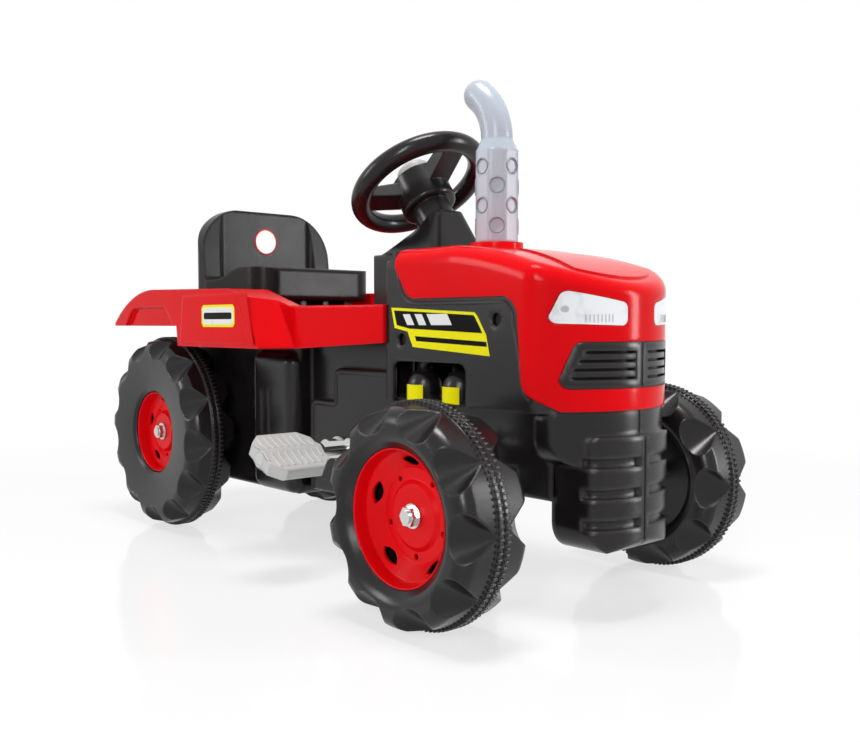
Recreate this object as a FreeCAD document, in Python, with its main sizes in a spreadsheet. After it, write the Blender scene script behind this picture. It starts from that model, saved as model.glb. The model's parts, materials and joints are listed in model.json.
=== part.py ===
import FreeCAD, Part
import math
import os
import re
import Sketcher
import types

V = FreeCAD.Vector
doc = FreeCAD.newDocument("ride_on_tractor")

# Frame: the tractor faces -Y, its left is +X, +Z is up, and the floor under the middle is the origin.
# All sizes are in millimetres, angles in degrees.
sizes = {
    # running gear
    "front_axle_y": -286.5,
    "rear_axle_y": 272.5,
    "front_track": 348.0,
    "front_wheel_r": 100.0,
    "front_tyre_w": 78.0,
    "front_rim_r": 61.0,
    "front_web_at": 0.5,
    "front_lip_at": 18.0,
    "front_floor_at": 7.6,
    "front_boss_at": 11.0,
    "rear_track": 256.0,
    "rear_wheel_r": 124.0,
    "rear_tyre_w": 66.0,
    "rear_rim_r": 53.0,
    "rear_web_at": 0.5,
    "rear_lip_at": 11.0,
    "rear_floor_at": 7.6,
    "rear_boss_at": 13.0,
    "seam_half": 7.0,
    "seam_rise": 2.0,
    "seam_split": 1.2,
    "tyre_wall": 4.0,
    "tread_wall": 22.0,
    "web_wall": 4.0,
    "rim_wall": 3.0,
    "scoop_lift": 0.5,
    "scoop_start": 7.0,
    "scoop_small_r": 1.5,
    "front_scoop_r": 28.0,
    "rear_scoop_r": 30.0,
    "hub_r": 13.0,
    "axle_r": 6.0,
    "nut_flats": 16.0,
    "nut_height": 6.0,
    "washer_r": 11.0,
    "washer_height": 1.5,
    # clearances
    "running_gap": 0.05,
    "side_gap": 0.3,
    "cut_over": 2.0,
    # front axle and steering linkage
    "kingpin_x": 112.0,
    "kingpin_top": 146.0,
    "beam_low": 112.0,
    "beam_height": 18.0,
    "beam_depth": 20.0,
    "sleeve_r": 11.0,
    "sleeve_height": 22.0,
    "knuckle_block": 20.0,
    "collar_r": 9.0,
    "arm_plate": 5.0,
    "arm_width": 18.0,
    "tie_rod_low": 150.0,
    "tie_rod_plate": 6.0,
    "tie_rod_width": 22.0,
    "link_pin_r": 4.0,
    "pitman_reach": 34.0,
    "ball_r": 6.0,
    "ball_gap": 1.2,
    "ball_slot": 6.0,
    "pitman_r": 4.0,
    # steering wheel, set square to a column that leans back
    "column_lean": 34.0,
    "rim_centre_y": -85.0,
    "rim_centre_z": 425.0,
    "rim_ring_r": 71.0,
    "rim_tube_r": 11.0,
    "spoke_width": 28.0,
    "spoke_thick": 12.0,
    "spoke_drop": 14.0,
    "wheel_hub_r": 31.0,
    "wheel_hub_height": 26.0,
    "sleeve_tube_r": 22.0,
    "sleeve_tube_len": 22.0,
    "horn_r": 21.0,
    "horn_height": 12.0,
    "horn_stem_r": 8.0,
    "horn_travel": 4.0,
    # column cover and the console that carries it
    "console_half": 48.0,
    "console_back_y": -59.0,
    "console_front_y": -154.0,
    "console_top": 344.0,
    "cover_top_r": 24.0,
    "cover_round": 8.0,
    # black body halves
    "body_wall": 4.0,
    "panel_half": 93.7,
    "panel_back_y": -139.0,
    "panel_low": 187.0,
    "panel_top": 334.0,
    "front_plan_r": 115.0,
    "nose_half": 84.0,
    "nose_low": 59.0,
    "nose_front_y": -393.0,
    "nose_back_y": -335.0,
    "nose_wall": 9.0,
    "nose_groove": 9.0,
    "bumper_reach": 7.0,
    "bumper_top": 166.0,
    "bumper_half": 58.0,
    "engine_half": 64.0,
    "engine_low": 104.0,
    "mid_half": 72.0,
    "mid_low": 70.0,
    "mid_back_y": 40.0,
    "gear_half": 92.0,
    "gear_back_y": 133.0,
    "tail_tyre_gap": 15.0,
    "tail_half": "=rear_track / 2 - rear_tyre_w / 2 - tail_tyre_gap",
    "tail_low": 62.0,
    "gear_round": 16.0,
    "gear_slot": 3.0,
    "tail_back_y": 338.0,
    "body_round": 9.0,
    "relief": 10.0,
    "step_back_y": 29.0,
    "step_top": 177.0,
    "upper_step_back_y": -19.0,
    "upper_step_top": 215.0,
    "step_round": 8.0,
    "recess_depth": 10.0,
    "canister_r": 18.0,
    "canister_high": 222.0,
    "tow_plate": 12.0,
    "tow_reach": 42.0,
    "tow_bore_r": 7.0,
    "tow_eye_r": 20.0,
    "tow_low": 100.0,
    # hood
    "hood_half": 97.0,
    "hood_wall": 3.0,
    "hood_back_y": -157.0,
    "hood_front_y": -392.0,
    "hood_top_back": 343.0,
    "hood_top_mid": 338.0,
    "hood_top_front": 300.0,
    "hood_side_low": 292.0,
    "hood_nose_low": 189.0,
    "hood_nose_back_y": -325.0,
    "hood_corner_r": 20.0,
    "hood_round": 16.0,
    "plateau_rise": 1.8,
    "light_top": 286.0,
    "light_low": 265.0,
    "light_in": 20.0,
    "light_out": 88.0,
    "light_round": 6.0,
    "grille_top": 251.0,
    "grille_low": 209.0,
    "grille_top_half": 68.0,
    "grille_low_half": 82.0,
    "grille_frame": 8.0,
    "louvre_pitch": 7.75,
    "louvre_height": 5.0,
    "louvre_depth": 6.0,
    "stack_y": -207.0,
    "stack_r": 22.0,
    "stack_low": 351.0,
    "stack_shoulder": 446.0,
    "stack_neck_rise": 12.0,
    "pipe_r": 16.5,
    "pipe_bend_r": 60.0,
    "pipe_rise": 12.0,
    "pipe_end": 6.0,
    "pipe_turn": 50.0,
    "dimple_r": 7.5,
    "dimple_depth": 1.5,
    "stack_collar_r": 28.0,
    "spigot_r": 12.0,
    # red rear body
    "fender_half": 158.0,
    "fender_low": 239.0,
    "fender_arch": 264.0,
    "fender_panel_back_y": 198.0,
    "fender_tip_y": 383.0,
    "fender_rise": 48.0,
    "fender_flat_end_y": 318.0,
    "deck_top": 287.0,
    "deck_half": 103.0,
    "waist_half": 120.0,
    "waist_y": -10.0,
    "flare_run": 15.0,
    "ramp_y": 1.0,
    "body_front_half": 98.0,
    "skirt_low": 247.0,
    "shell_wall": 3.5,
    "shell_round": 7.0,
    "fender_round": 175.0,
    "fender_pad": 2.5,
    "flare_lean": 46.0,
    "arch_depth": 5.0,
    # seat
    "seat_front_y": 110.0,
    "seat_back_y": 257.0,
    "seat_low": 297.0,
    "seat_lip": 338.0,
    "seat_pan": 318.0,
    "seat_top": 421.0,
    "seat_front_inset": 15.0,
    "seat_back_gap": 2.0,
    "seat_wing": 12.0,
    "backrest": 18.0,
    "seat_corner_r": 62.0,
    "seat_round": 6.0,
    "seat_rib": 5.0,
    # pedal crank and chain drive
    "crank_y": -27.0,
    "crank_arm": 43.0,
    "crank_rise": 5.0,
    "crank_arm_in": 79.0,
    "crank_arm_thick": 12.0,
    "crank_eye_r": 12.0,
    "spindle_r": 5.0,
    "pedal_in": 132.0,
    "pedal_width": 73.0,
    "pedal_length": 66.0,
    "pedal_height": 21.0,
    "pedal_corner": 14.0,
    "pedal_pitch": 28.0,
    "tread_depth": 3.0,
    "chain_x": 30.0,
    "chain_pitch": 12.7,
    "crank_teeth": 18,
    "rear_teeth": 12,
    "sprocket_thick": 3.0,
    "chain_width": 8.0,
    "chain_height": 9.0,
    "bush_r": 10.0,
    "bush_flange_r": 14.0,
    "bush_flange": 3.0,
    # fasteners
    "screw_r": 3.0,
    "screw_head_r": 6.0,
    "screw_head": 3.5,
    "screw_len": 16.0,
    "screw_sink": 7.0,
}

sheet = doc.addObject("Spreadsheet::Sheet", "Sizes")
for row, (alias, number) in enumerate(sizes.items(), start=1):
    sheet.set(f"A{row}", alias)
    sheet.set(f"B{row}", str(number))
    sheet.setAlias(f"B{row}", alias)
doc.recompute()


mm = types.SimpleNamespace(**{alias: float(sheet.get(alias)) for alias in sizes})

# Counts and shapes that follow a carrying size as shares of it.
front_scoop_count = 10
rear_scoop_count = 13
rim_slot_count = 5
stack_sides = 8
spoke_turns = (-90.0, 30.0, 150.0)
nose_groove_shares = (0.26, 0.52, 0.78)
tread_edge_shares = (0.70, 0.965)
shoulder_shares = (0.92, 0.905)
flank_shares = (1.0, 0.80)
bulge_shares = (0.97, 0.71)
bead_share = 0.86
seat_edge_share = 0.76
spindle_head_share = 1.4
cavity_shares = ((0.74, None), (0.80, 0.70), (0.62, None))

# Places worked out from the driving sizes.
front_y = mm.front_axle_y
rear_y = mm.rear_axle_y
fender_top = mm.fender_arch + mm.fender_rise
stack_neck = mm.stack_shoulder + mm.stack_neck_rise
front_z = mm.front_wheel_r
rear_z = mm.rear_wheel_r
lean = math.radians(mm.column_lean)
column_up = V(0, math.sin(lean), math.cos(lean))
column_back = V(0, math.cos(lean), -math.sin(lean))
wheel_centre = V(0, mm.rim_centre_y, mm.rim_centre_z)
tie_rod_mid = mm.tie_rod_low + mm.tie_rod_plate / 2
link_drop = (mm.rim_centre_z - math.sin(lean) * mm.pitman_reach - tie_rod_mid) / math.cos(lean)
ball_at = wheel_centre - column_up * link_drop + column_back * mm.pitman_reach
link_y = ball_at.y
plan_centre_y = mm.hood_front_y + mm.front_plan_r
front_depth_y = plan_centre_y - mm.hood_half / 2
deck_under = mm.deck_top - mm.shell_wall
body_top = deck_under - mm.side_gap
seat_front_half = mm.deck_half - mm.seat_front_inset
seat_back_half = mm.deck_half - mm.seat_back_gap
axle_bore = mm.axle_r + mm.running_gap
pieces = []


def piece(label, shape):
    feature = doc.addObject("Part::Feature", label)
    feature.Label = label
    feature.Shape = shape
    pieces.append(feature)


def bound(expression):
    return re.sub(r"\b[a-z][a-z_]*\b(?!\()", lambda word: "Sizes." + word.group(0), expression)


def primitive(kind, name, at, **lengths):
    feature = doc.addObject(kind, name)
    for key, expression in lengths.items():
        feature.setExpression(key, bound(expression))
    for axis, expression in zip("xyz", at):
        feature.setExpression("Placement.Base." + axis, bound(expression))
    return feature


def rod_across(name, radius, length, at):
    rod = primitive("Part::Cylinder", name, at, Radius=radius, Height=length)
    rod.Placement.Rotation = FreeCAD.Rotation(V(0, 1, 0), 90)
    return rod


def fused(name, parts):
    union = doc.addObject("Part::MultiFuse", name)
    union.Shapes = parts
    return union


def bored(name, base, tool):
    result = doc.addObject("Part::Cut", name)
    result.Base = base
    result.Tool = tool
    return result


def named(label, feature):
    feature.Label = label
    pieces.append(feature)


def line(start, end):
    return Part.LineSegment(start, end).toShape()


def arc(start, middle, end):
    return Part.Arc(start, middle, end).toShape()


def rounded_wire(corners):
    starts, middles, ends = [], [], []
    for index, (corner, radius) in enumerate(corners):
        back = (corners[index - 1][0] - corner).normalize()
        ahead = (corners[(index + 1) % len(corners)][0] - corner).normalize()
        half_turn = back.getAngle(ahead) / 2
        starts.append(corner + back * (radius / math.tan(half_turn)))
        ends.append(corner + ahead * (radius / math.tan(half_turn)))
        inward = (back + ahead).normalize()
        middles.append(corner + inward * (radius / math.sin(half_turn) - radius))
    edges = []
    for index, (corner, radius) in enumerate(corners):
        if radius > 0:
            edges.append(arc(starts[index], middles[index], ends[index]))
        edges.append(line(ends[index], starts[(index + 1) % len(corners)]))
    return Part.Wire(edges)


def prism(corners, along):
    return Part.Face(rounded_wire(corners)).extrude(along)


def side_prism(corners, x_from, x_to):
    wire = [(V(x_from, y, z), radius) for y, z, radius in corners]
    return prism(wire, V(x_to - x_from, 0, 0))


def box(x_from, x_to, y_from, y_to, z_from, z_to):
    return Part.makeBox(x_to - x_from, y_to - y_from, z_to - z_from, V(x_from, y_from, z_from))


def rod(radius, start, end):
    return Part.makeCylinder(radius, (end - start).Length, start, end - start)


def edges_where(shape, test):
    return [edge for edge in shape.Edges if all(test(vertex.Point) for vertex in edge.Vertexes)]


def near(value, goal):
    return abs(value - goal) < mm.running_gap


def mirrored(shape):
    return shape.mirror(V(0, 0, 0), V(1, 0, 0))


def spun(face):
    return face.revolve(V(0, 0, 0), V(1, 0, 0), 360)


def round_pattern(shape, count, first=0.0):
    copies = []
    for index in range(count):
        copy = shape.copy()
        copy.rotate(V(0, 0, 0), V(1, 0, 0), first + 360.0 * index / count)
        copies.append(copy)
    return copies


# Wheels: two equal moulded halves meet at the seam, and a red dish closes the outer one.
def end_sizes(end):
    keys = ("wheel_r", "track", "tyre_w", "rim_r", "web_at", "lip_at", "floor_at", "boss_at", "scoop_r")
    return types.SimpleNamespace(**{key: getattr(mm, f"{end}_{key}") for key in keys})


def hub_end(end):
    return end_sizes(end).boss_at - mm.rim_wall


def tyre_half(end):
    e = end_sizes(end)
    half = e.tyre_w / 2
    barrel = e.rim_r + mm.tyre_wall
    ceiling = e.wheel_r - mm.tread_wall
    web_out = e.web_at + mm.web_wall
    tread_edge = V(half * tread_edge_shares[0], e.wheel_r * tread_edge_shares[1], 0)
    shoulder = V(half * shoulder_shares[0], e.wheel_r * shoulder_shares[1], 0)
    flank = V(half * flank_shares[0], e.wheel_r * flank_shares[1], 0)
    bulge = V(half * bulge_shares[0], e.wheel_r * bulge_shares[1], 0)
    bead = V(half * bead_share, barrel, 0)
    inside = [
        V(half * seat_edge_share, e.rim_r, 0),
        V(web_out, e.rim_r, 0),
        V(web_out, mm.hub_r, 0),
        V(hub_end(end), mm.hub_r, 0),
        V(hub_end(end), axle_bore, 0),
        V(0, axle_bore, 0),
        V(0, mm.hub_r, 0),
        V(e.web_at, mm.hub_r, 0),
        V(e.web_at, barrel, 0),
        V(half * cavity_shares[0][0], barrel, 0),
        V(half * cavity_shares[1][0], e.wheel_r * cavity_shares[1][1], 0),
        V(half * cavity_shares[2][0], ceiling, 0),
        V(0, ceiling, 0),
    ]
    crown = e.wheel_r - mm.seam_rise
    seam = [
        inside[-1],
        V(0, crown, 0),
        V(mm.seam_split / 2, crown, 0),
        V(mm.seam_split, e.wheel_r, 0),
        V(mm.seam_half - mm.seam_split, e.wheel_r, 0),
        V(mm.seam_half, crown, 0),
        tread_edge,
    ]
    edges = [line(start, end_point) for start, end_point in zip(seam, seam[1:])]
    edges += [arc(tread_edge, shoulder, flank), arc(flank, bulge, bead)]
    edges += [line(start, end_point) for start, end_point in zip([bead] + inside, inside)]
    scoop = Part.makeCone(
        mm.scoop_small_r,
        e.scoop_r,
        half + mm.cut_over - mm.scoop_start,
        V(mm.scoop_start, 0, e.wheel_r + mm.scoop_lift),
        V(1, 0, 0),
    )
    count = {"front": front_scoop_count, "rear": rear_scoop_count}[end]
    return spun(Part.Face(Part.Wire(edges))).cut(round_pattern(scoop, count))


def rim_dish(end):
    e = end_sizes(end)
    ring_shares = (0.92, 0.68, 0.52, 0.45)
    stations = (e.lip_at, e.floor_at, e.floor_at, e.boss_at)
    front = [V(e.lip_at, e.rim_r, 0)]
    front += [V(a, e.rim_r * share, 0) for a, share in zip(stations, ring_shares)]
    front += [V(e.boss_at, axle_bore, 0)]
    back = [point - V(mm.rim_wall, 0, 0) for point in reversed(front)]
    dish = spun(Part.Face(Part.makePolygon(front + back + front[:1])))
    slot_shares = (0.80, 0.19, 0.07)
    reach = [e.rim_r * share for share in slot_shares]
    tips = [V(0, -reach[1], reach[0]), V(0, reach[1], reach[0])]
    crowns = [V(0, 0, reach[0] + reach[2]), V(0, 0, reach[0] - reach[2])]
    leaf = Part.Face(Part.Wire([arc(tips[0], crowns[0], tips[1]), arc(tips[1], crowns[1], tips[0])]))
    leaf = leaf.extrude(V(e.tyre_w, 0, 0))
    hole_shares = (0.60, 0.045)
    hole_at = V(0, 0, e.rim_r * hole_shares[0])
    hole = rod(e.rim_r * hole_shares[1], hole_at, hole_at + V(e.tyre_w, 0, 0))
    half_step = 180.0 / rim_slot_count
    return dish.cut(round_pattern(leaf, rim_slot_count) + round_pattern(hole, rim_slot_count, half_step))


def at_wheel(shape, end, side, outward, roll=0.0):
    placed = shape.copy()
    placed.rotate(V(0, 0, 0), V(1, 0, 0), roll)
    if outward < 0:
        placed.rotate(V(0, 0, 0), V(0, 0, 1), 180)
    y, z = (front_y, front_z) if end == "front" else (rear_y, rear_z)
    placed.translate(V(side * end_sizes(end).track / 2, y, z))
    return placed


def make_wheels():
    first_roll = 16.5
    for end in ("front", "rear"):
        half = tyre_half(end)
        dish = rim_dish(end)
        for name, side in (("right", -1), ("left", 1)):
            piece(f"{end}_tyre_outer_{name}", at_wheel(half, end, side, side, first_roll))
            piece(f"{end}_tyre_inner_{name}", at_wheel(half, end, side, -side, first_roll))
            piece(f"{end}_rim_{name}", at_wheel(dish, end, side, side))


# Fasteners
def hex_points(across):
    corner = f"{across}/sqrt(3)"
    return [
        (corner, "0"), (f"{corner}/2", f"{across}/2"), (f"-{corner}/2", f"{across}/2"),
        (f"-{corner}", "0"), (f"-{corner}/2", f"-{across}/2"), (f"{corner}/2", f"-{across}/2"),
    ]


def sketch_on(body, role, name):
    sketch = body.newObject("Sketcher::SketchObject", name)
    plane = next(feature for feature in body.Origin.OriginFeatures if feature.Role == role)
    sketch.AttachmentSupport = (plane, [""])
    sketch.MapMode = "FlatFace"
    return sketch


def pin_down(sketch, geometry, point, place):
    for kind, expression in zip(("DistanceX", "DistanceY"), place):
        index = sketch.addConstraint(Sketcher.Constraint(kind, -1, 1, geometry, point, 1.0))
        sketch.setExpression(f"Constraints[{index}]", bound(expression))


def draw_polygon(sketch, corners):
    count = len(corners)
    turn = 2 * math.pi / count
    ring = [V(math.cos(turn * i), math.sin(turn * i), 0) for i in range(count)]
    for index in range(count):
        sketch.addGeometry(Part.LineSegment(ring[index], ring[(index + 1) % count]), False)
    for index in range(count):
        sketch.addConstraint(Sketcher.Constraint("Coincident", index, 2, (index + 1) % count, 1))
    for index, corner in enumerate(corners):
        pin_down(sketch, index, 1, corner)


def draw_circle(sketch, centre, radius):
    geometry = sketch.addGeometry(Part.Circle(V(0, 0, 0), V(0, 0, 1), 1.0), False)
    pin_down(sketch, geometry, 3, centre)
    index = sketch.addConstraint(Sketcher.Constraint("Radius", geometry, 1.0))
    sketch.setExpression(f"Constraints[{index}]", bound(radius))


def turned_body(label, corners, at):
    body = doc.addObject("PartDesign::Body", label)
    sketch = sketch_on(body, "XY_Plane", label + "_profile")
    draw_polygon(sketch, corners)
    turning = body.newObject("PartDesign::Revolution", label + "_turning")
    turning.Profile = sketch
    turning.ReferenceAxis = (sketch, ["H_Axis"])
    turning.Angle = 360
    for axis, expression in zip("xyz", at):
        body.setExpression("Placement.Base." + axis, bound(expression))
    named(label, body)
    return body


def make_axle_nut(end, name, sign):
    label = f"{end}_nut_{name}"
    body = doc.addObject("PartDesign::Body", label)
    washer = sketch_on(body, "YZ_Plane", label + "_washer")
    draw_circle(washer, ("0", "0"), "washer_r")
    draw_circle(washer, ("0", "0"), "axle_r")
    disc = body.newObject("PartDesign::Pad", label + "_disc")
    disc.Profile = washer
    disc.setExpression("Length", bound("washer_height"))
    flats = sketch_on(body, "YZ_Plane", label + "_flats")
    draw_polygon(flats, hex_points("nut_flats"))
    draw_circle(flats, ("0", "0"), "axle_r")
    hexagon = body.newObject("PartDesign::Pad", label + "_hexagon")
    hexagon.Profile = flats
    hexagon.setExpression("Length", bound("washer_height + nut_height"))
    if sign == "-":
        body.Placement.Rotation = FreeCAD.Rotation(V(0, 0, 1), 180)
    place = (
        f"{sign}({end}_track/2 + {end}_boss_at + side_gap)",
        f"{end}_axle_y",
        f"{end}_wheel_r",
    )
    for axis, expression in zip("xyz", place):
        body.setExpression("Placement.Base." + axis, bound(expression))
    named(label, body)


def screw(head_at, inward):
    head = rod(mm.screw_head_r, head_at, head_at + inward * mm.screw_head)
    shank = rod(mm.screw_r, head_at, head_at + inward * mm.screw_len)
    return head.fuse(shank)


def panel_screw_places():
    height = mm.hood_side_low - mm.panel_low
    length = mm.panel_back_y - mm.hood_nose_back_y
    place_shares = ((0.85, 0.80), (0.13, 0.61))
    return [(mm.panel_back_y - length * u, mm.panel_low + height * v) for u, v in place_shares]


def make_panel_screws():
    depth = mm.panel_half - mm.screw_sink + mm.screw_head
    right = [screw(V(-depth, y, z), V(1, 0, 0)) for y, z in panel_screw_places()]
    piece("panel_screws", Part.makeCompound(right + [mirrored(one) for one in right]))


# Front axle: a beam carries a kingpin sleeve at each end.
def make_front_axle():
    mid = "(beam_low + beam_height/2 - sleeve_height/2)"
    bar = primitive(
        "Part::Box", "beam_bar", ("-kingpin_x", "front_axle_y - beam_depth/2", "beam_low"),
        Length="2*kingpin_x", Width="beam_depth", Height="beam_height",
    )
    sleeves = []
    bores = []
    for name, sign in (("right", "-"), ("left", "")):
        place = (f"{sign}kingpin_x", "front_axle_y", mid)
        sleeves.append(primitive(
            "Part::Cylinder", f"sleeve_{name}", place, Radius="sleeve_r", Height="sleeve_height"))
        bores.append(primitive(
            "Part::Cylinder", f"kingpin_bore_{name}", place,
            Radius="axle_r + running_gap", Height="sleeve_height"))
    body = fused("beam_body", [bar] + sleeves)
    named("front_axle_beam", bored("axle_beam", body, fused("beam_bores", bores)))


def sleeve_low():
    return mm.beam_low + mm.beam_height / 2 - mm.sleeve_height / 2


def make_knuckle(name, side):
    x = side * mm.kingpin_x
    foot = front_z - mm.knuckle_block / 2
    seam_x = side * mm.front_track / 2
    collar_end = seam_x - side * (hub_end("front") + mm.side_gap)
    nut_stack = mm.side_gap + mm.washer_height + mm.nut_height
    axle_end = seam_x + side * (mm.front_boss_at + nut_stack + mm.cut_over)
    arm_low = mm.kingpin_top - mm.arm_plate
    kingpin = rod(mm.axle_r, V(x, front_y, foot), V(x, front_y, mm.kingpin_top))
    block = rod(mm.sleeve_r, V(x, front_y, foot), V(x, front_y, sleeve_low() - mm.side_gap))
    collar = rod(mm.collar_r, V(x, front_y, front_z), V(collar_end, front_y, front_z))
    stub = rod(mm.axle_r, V(x, front_y, front_z), V(axle_end, front_y, front_z))
    half = mm.arm_width / 2
    plate = box(x - half, x + half, front_y, link_y, arm_low, mm.kingpin_top)
    eyes = [rod(half, V(x, y, arm_low), V(x, y, mm.kingpin_top)) for y in (front_y, link_y)]
    pin_top = mm.tie_rod_low + mm.tie_rod_plate + mm.arm_plate
    pin = rod(mm.link_pin_r, V(x, link_y, arm_low), V(x, link_y, pin_top))
    piece(f"steering_knuckle_{name}", kingpin.fuse([block, collar, stub, plate, pin] + eyes).removeSplitter())


def make_tie_rod():
    half = mm.tie_rod_width / 2
    low = mm.tie_rod_low
    top = low + mm.tie_rod_plate
    plate = box(-mm.kingpin_x, mm.kingpin_x, link_y - half, link_y + half, low, top)
    eyes = [rod(half, V(x, link_y, low), V(x, link_y, top)) for x in (-mm.kingpin_x, mm.kingpin_x)]
    pin_bore = mm.link_pin_r + mm.running_gap
    bores = [rod(pin_bore, V(x, link_y, low), V(x, link_y, top)) for x in (-mm.kingpin_x, mm.kingpin_x)]
    slot_half = mm.ball_r + mm.ball_gap
    slot_ends = (link_y - mm.ball_slot / 2, link_y + mm.ball_slot / 2)
    slot = [rod(slot_half, V(0, y, low), V(0, y, top)) for y in slot_ends]
    slot.append(box(-slot_half, slot_half, *slot_ends, low, top))
    boss = rod(half + mm.ball_slot, V(0, link_y, low), V(0, link_y, top))
    piece("tie_rod", plate.fuse(eyes + [boss]).removeSplitter().cut(bores + slot))


# Steering column, wheel and horn button, drawn upright about the column axis and then leaned back.
def leaned(shape):
    placed = shape.copy()
    placed.rotate(V(0, 0, 0), V(1, 0, 0), -mm.column_lean)
    placed.translate(wheel_centre)
    return placed


def hub_top():
    return mm.rim_tube_r / 2


def horn_floor():
    return hub_top() - mm.horn_travel - mm.horn_height / 2


def stem_end():
    return horn_floor() - mm.horn_stem_r - mm.horn_travel


def make_steering_column():
    knee = wheel_centre - column_up * (link_drop - mm.pitman_reach)
    top = wheel_centre + column_up * (stem_end() - mm.side_gap)
    shaft = rod(mm.axle_r, knee, top)
    arm = rod(mm.pitman_r, knee, ball_at)
    elbow = Part.makeSphere(mm.axle_r, knee)
    ball = Part.makeSphere(mm.ball_r, ball_at)
    piece("steering_column", shaft.fuse([elbow, arm, ball]))


def make_steering_wheel():
    ring = Part.makeTorus(mm.rim_ring_r, mm.rim_tube_r)
    low = hub_top() - mm.wheel_hub_height - mm.spoke_drop
    hub = Part.makeCylinder(mm.wheel_hub_r, hub_top() - low, V(0, 0, low))
    hub = hub.makeFillet(mm.running_gap + mm.spoke_thick / 3, edges_where(hub, lambda p: near(p.z, low)))
    tube_low = low - mm.sleeve_tube_len
    tube = Part.makeCylinder(mm.sleeve_tube_r, mm.sleeve_tube_len, V(0, 0, tube_low))
    spokes = []
    for turn in spoke_turns:
        half = mm.spoke_width / 2
        outer = mm.rim_ring_r
        inner = mm.wheel_hub_r / 2
        profile = [
            (V(inner, -half, hub_top() - mm.spoke_thick - mm.spoke_drop), 0),
            (V(inner, -half, hub_top() - mm.spoke_drop / 2), 0),
            (V(outer, -half, mm.rim_tube_r / 2), 0),
            (V(outer, -half, -mm.rim_tube_r / 2), 0),
        ]
        spoke = prism(profile, V(0, mm.spoke_width, 0))
        spoke.rotate(V(0, 0, 0), V(0, 0, 1), turn)
        spokes.append(spoke)
    wheel = ring.fuse([hub, tube] + spokes)
    pocket = Part.makeCylinder(mm.horn_r + mm.side_gap, mm.rim_ring_r, V(0, 0, horn_floor()))
    stem = Part.makeCylinder(mm.horn_stem_r + mm.running_gap, mm.rim_ring_r, V(0, 0, stem_end()))
    bore = Part.makeCylinder(mm.axle_r, stem_end() - tube_low, V(0, 0, tube_low))
    piece("steering_wheel", leaned(wheel.cut([pocket, stem, bore])))


def make_horn_button():
    foot = horn_floor() + mm.horn_travel
    cap = Part.makeCylinder(mm.horn_r, mm.horn_height, V(0, 0, foot))
    cap = cap.makeFillet(mm.horn_height / 2, edges_where(cap, lambda p: near(p.z, foot + mm.horn_height)))
    stem_low = stem_end() + mm.horn_travel
    stem = Part.makeCylinder(mm.horn_stem_r, foot - stem_low, V(0, 0, stem_low))
    piece("horn_button", leaned(cap.fuse(stem)))


def sleeve_bottom():
    return hub_top() - mm.wheel_hub_height - mm.spoke_drop - mm.sleeve_tube_len


def make_column_cover():
    half = mm.console_half - mm.cover_round
    front, back, foot = mm.console_front_y, mm.console_back_y, mm.console_top
    base = rounded_wire([
        (V(-half, front, foot), mm.cover_round), (V(half, front, foot), mm.cover_round),
        (V(half, back, foot), mm.cover_round), (V(-half, back, foot), mm.cover_round),
    ])
    crown_z = sleeve_bottom() - mm.side_gap
    r = mm.cover_top_r
    square = ((-r, -r), (r, -r), (r, r), (-r, r))
    crown = rounded_wire([(V(x, y, crown_z), r / 2) for x, y in square])
    cover = Part.makeLoft([base, leaned(crown)], True, True)
    shaft = rod(axle_bore, wheel_centre - column_up * link_drop, wheel_centre)
    piece("column_cover", cover.cut(shaft))


# Black body: two moulded halves, open to each other at the middle.
def plan_prism(radius, half, back_y, low, top):
    side_y = plan_centre_y - math.sqrt(radius * radius - half * half)
    turn = math.asin(half / radius) / 2
    swing = V(-radius * math.sin(turn), plan_centre_y - radius * math.cos(turn), low)
    nose = V(0, plan_centre_y - radius, low)
    wire = Part.Wire([
        line(V(0, back_y, low), V(-half, back_y, low)),
        line(V(-half, back_y, low), V(-half, side_y, low)),
        arc(V(-half, side_y, low), swing, nose),
        line(nose, V(0, back_y, low)),
    ])
    return Part.Face(wire).extrude(V(0, 0, top - low))


def softened(shape, half, radius):
    rim = edges_where(shape, lambda p: near(p.x, -half))
    return shape.makeFillet(radius, rim)


def block(y_from, y_to, z_from, z_to, half, radius):
    corners = [(y_from, z_from, radius), (y_to, z_from, radius), (y_to, z_to, radius), (y_from, z_to, radius)]
    return side_prism(corners, 0, -half)


def panel_profile(inset):
    drop_shares = (0.04, 0.30)
    height = mm.panel_top - mm.panel_low
    back = mm.panel_back_y - inset
    front = plan_centre_y - mm.front_plan_r
    low = mm.panel_low + inset
    mid = (mm.panel_back_y + front) / 2 - inset
    top = mm.panel_top - inset
    return [
        (back, low, 0), (back, top, 0), (mid, top - height * drop_shares[0], mm.hood_corner_r),
        (front, top - height * drop_shares[1], 0), (front, low, 0),
    ]


def panel_cell(inset):
    radius = mm.front_plan_r - mm.hood_wall - mm.side_gap - inset
    half = mm.panel_half - inset
    plan = plan_prism(radius, half, mm.panel_back_y, mm.panel_low, mm.panel_top)
    cell = plan.common(side_prism(panel_profile(inset), 0, -half))
    corner = edges_where(cell, lambda p: near(p.x, -half) and p.y < mm.hood_nose_back_y)
    upright = [edge for edge in corner if abs(edge.BoundBox.ZLength) > mm.hood_corner_r]
    cell = cell.makeFillet(mm.hood_corner_r - mm.hood_wall, upright)
    shoulder = edges_where(cell, lambda p: near(p.x, -half) and p.z > mm.hood_side_low)
    along = [edge for edge in shoulder if edge.BoundBox.YLength > mm.hood_wall]
    return cell.makeFillet(mm.hood_round / 2, along)


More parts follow.
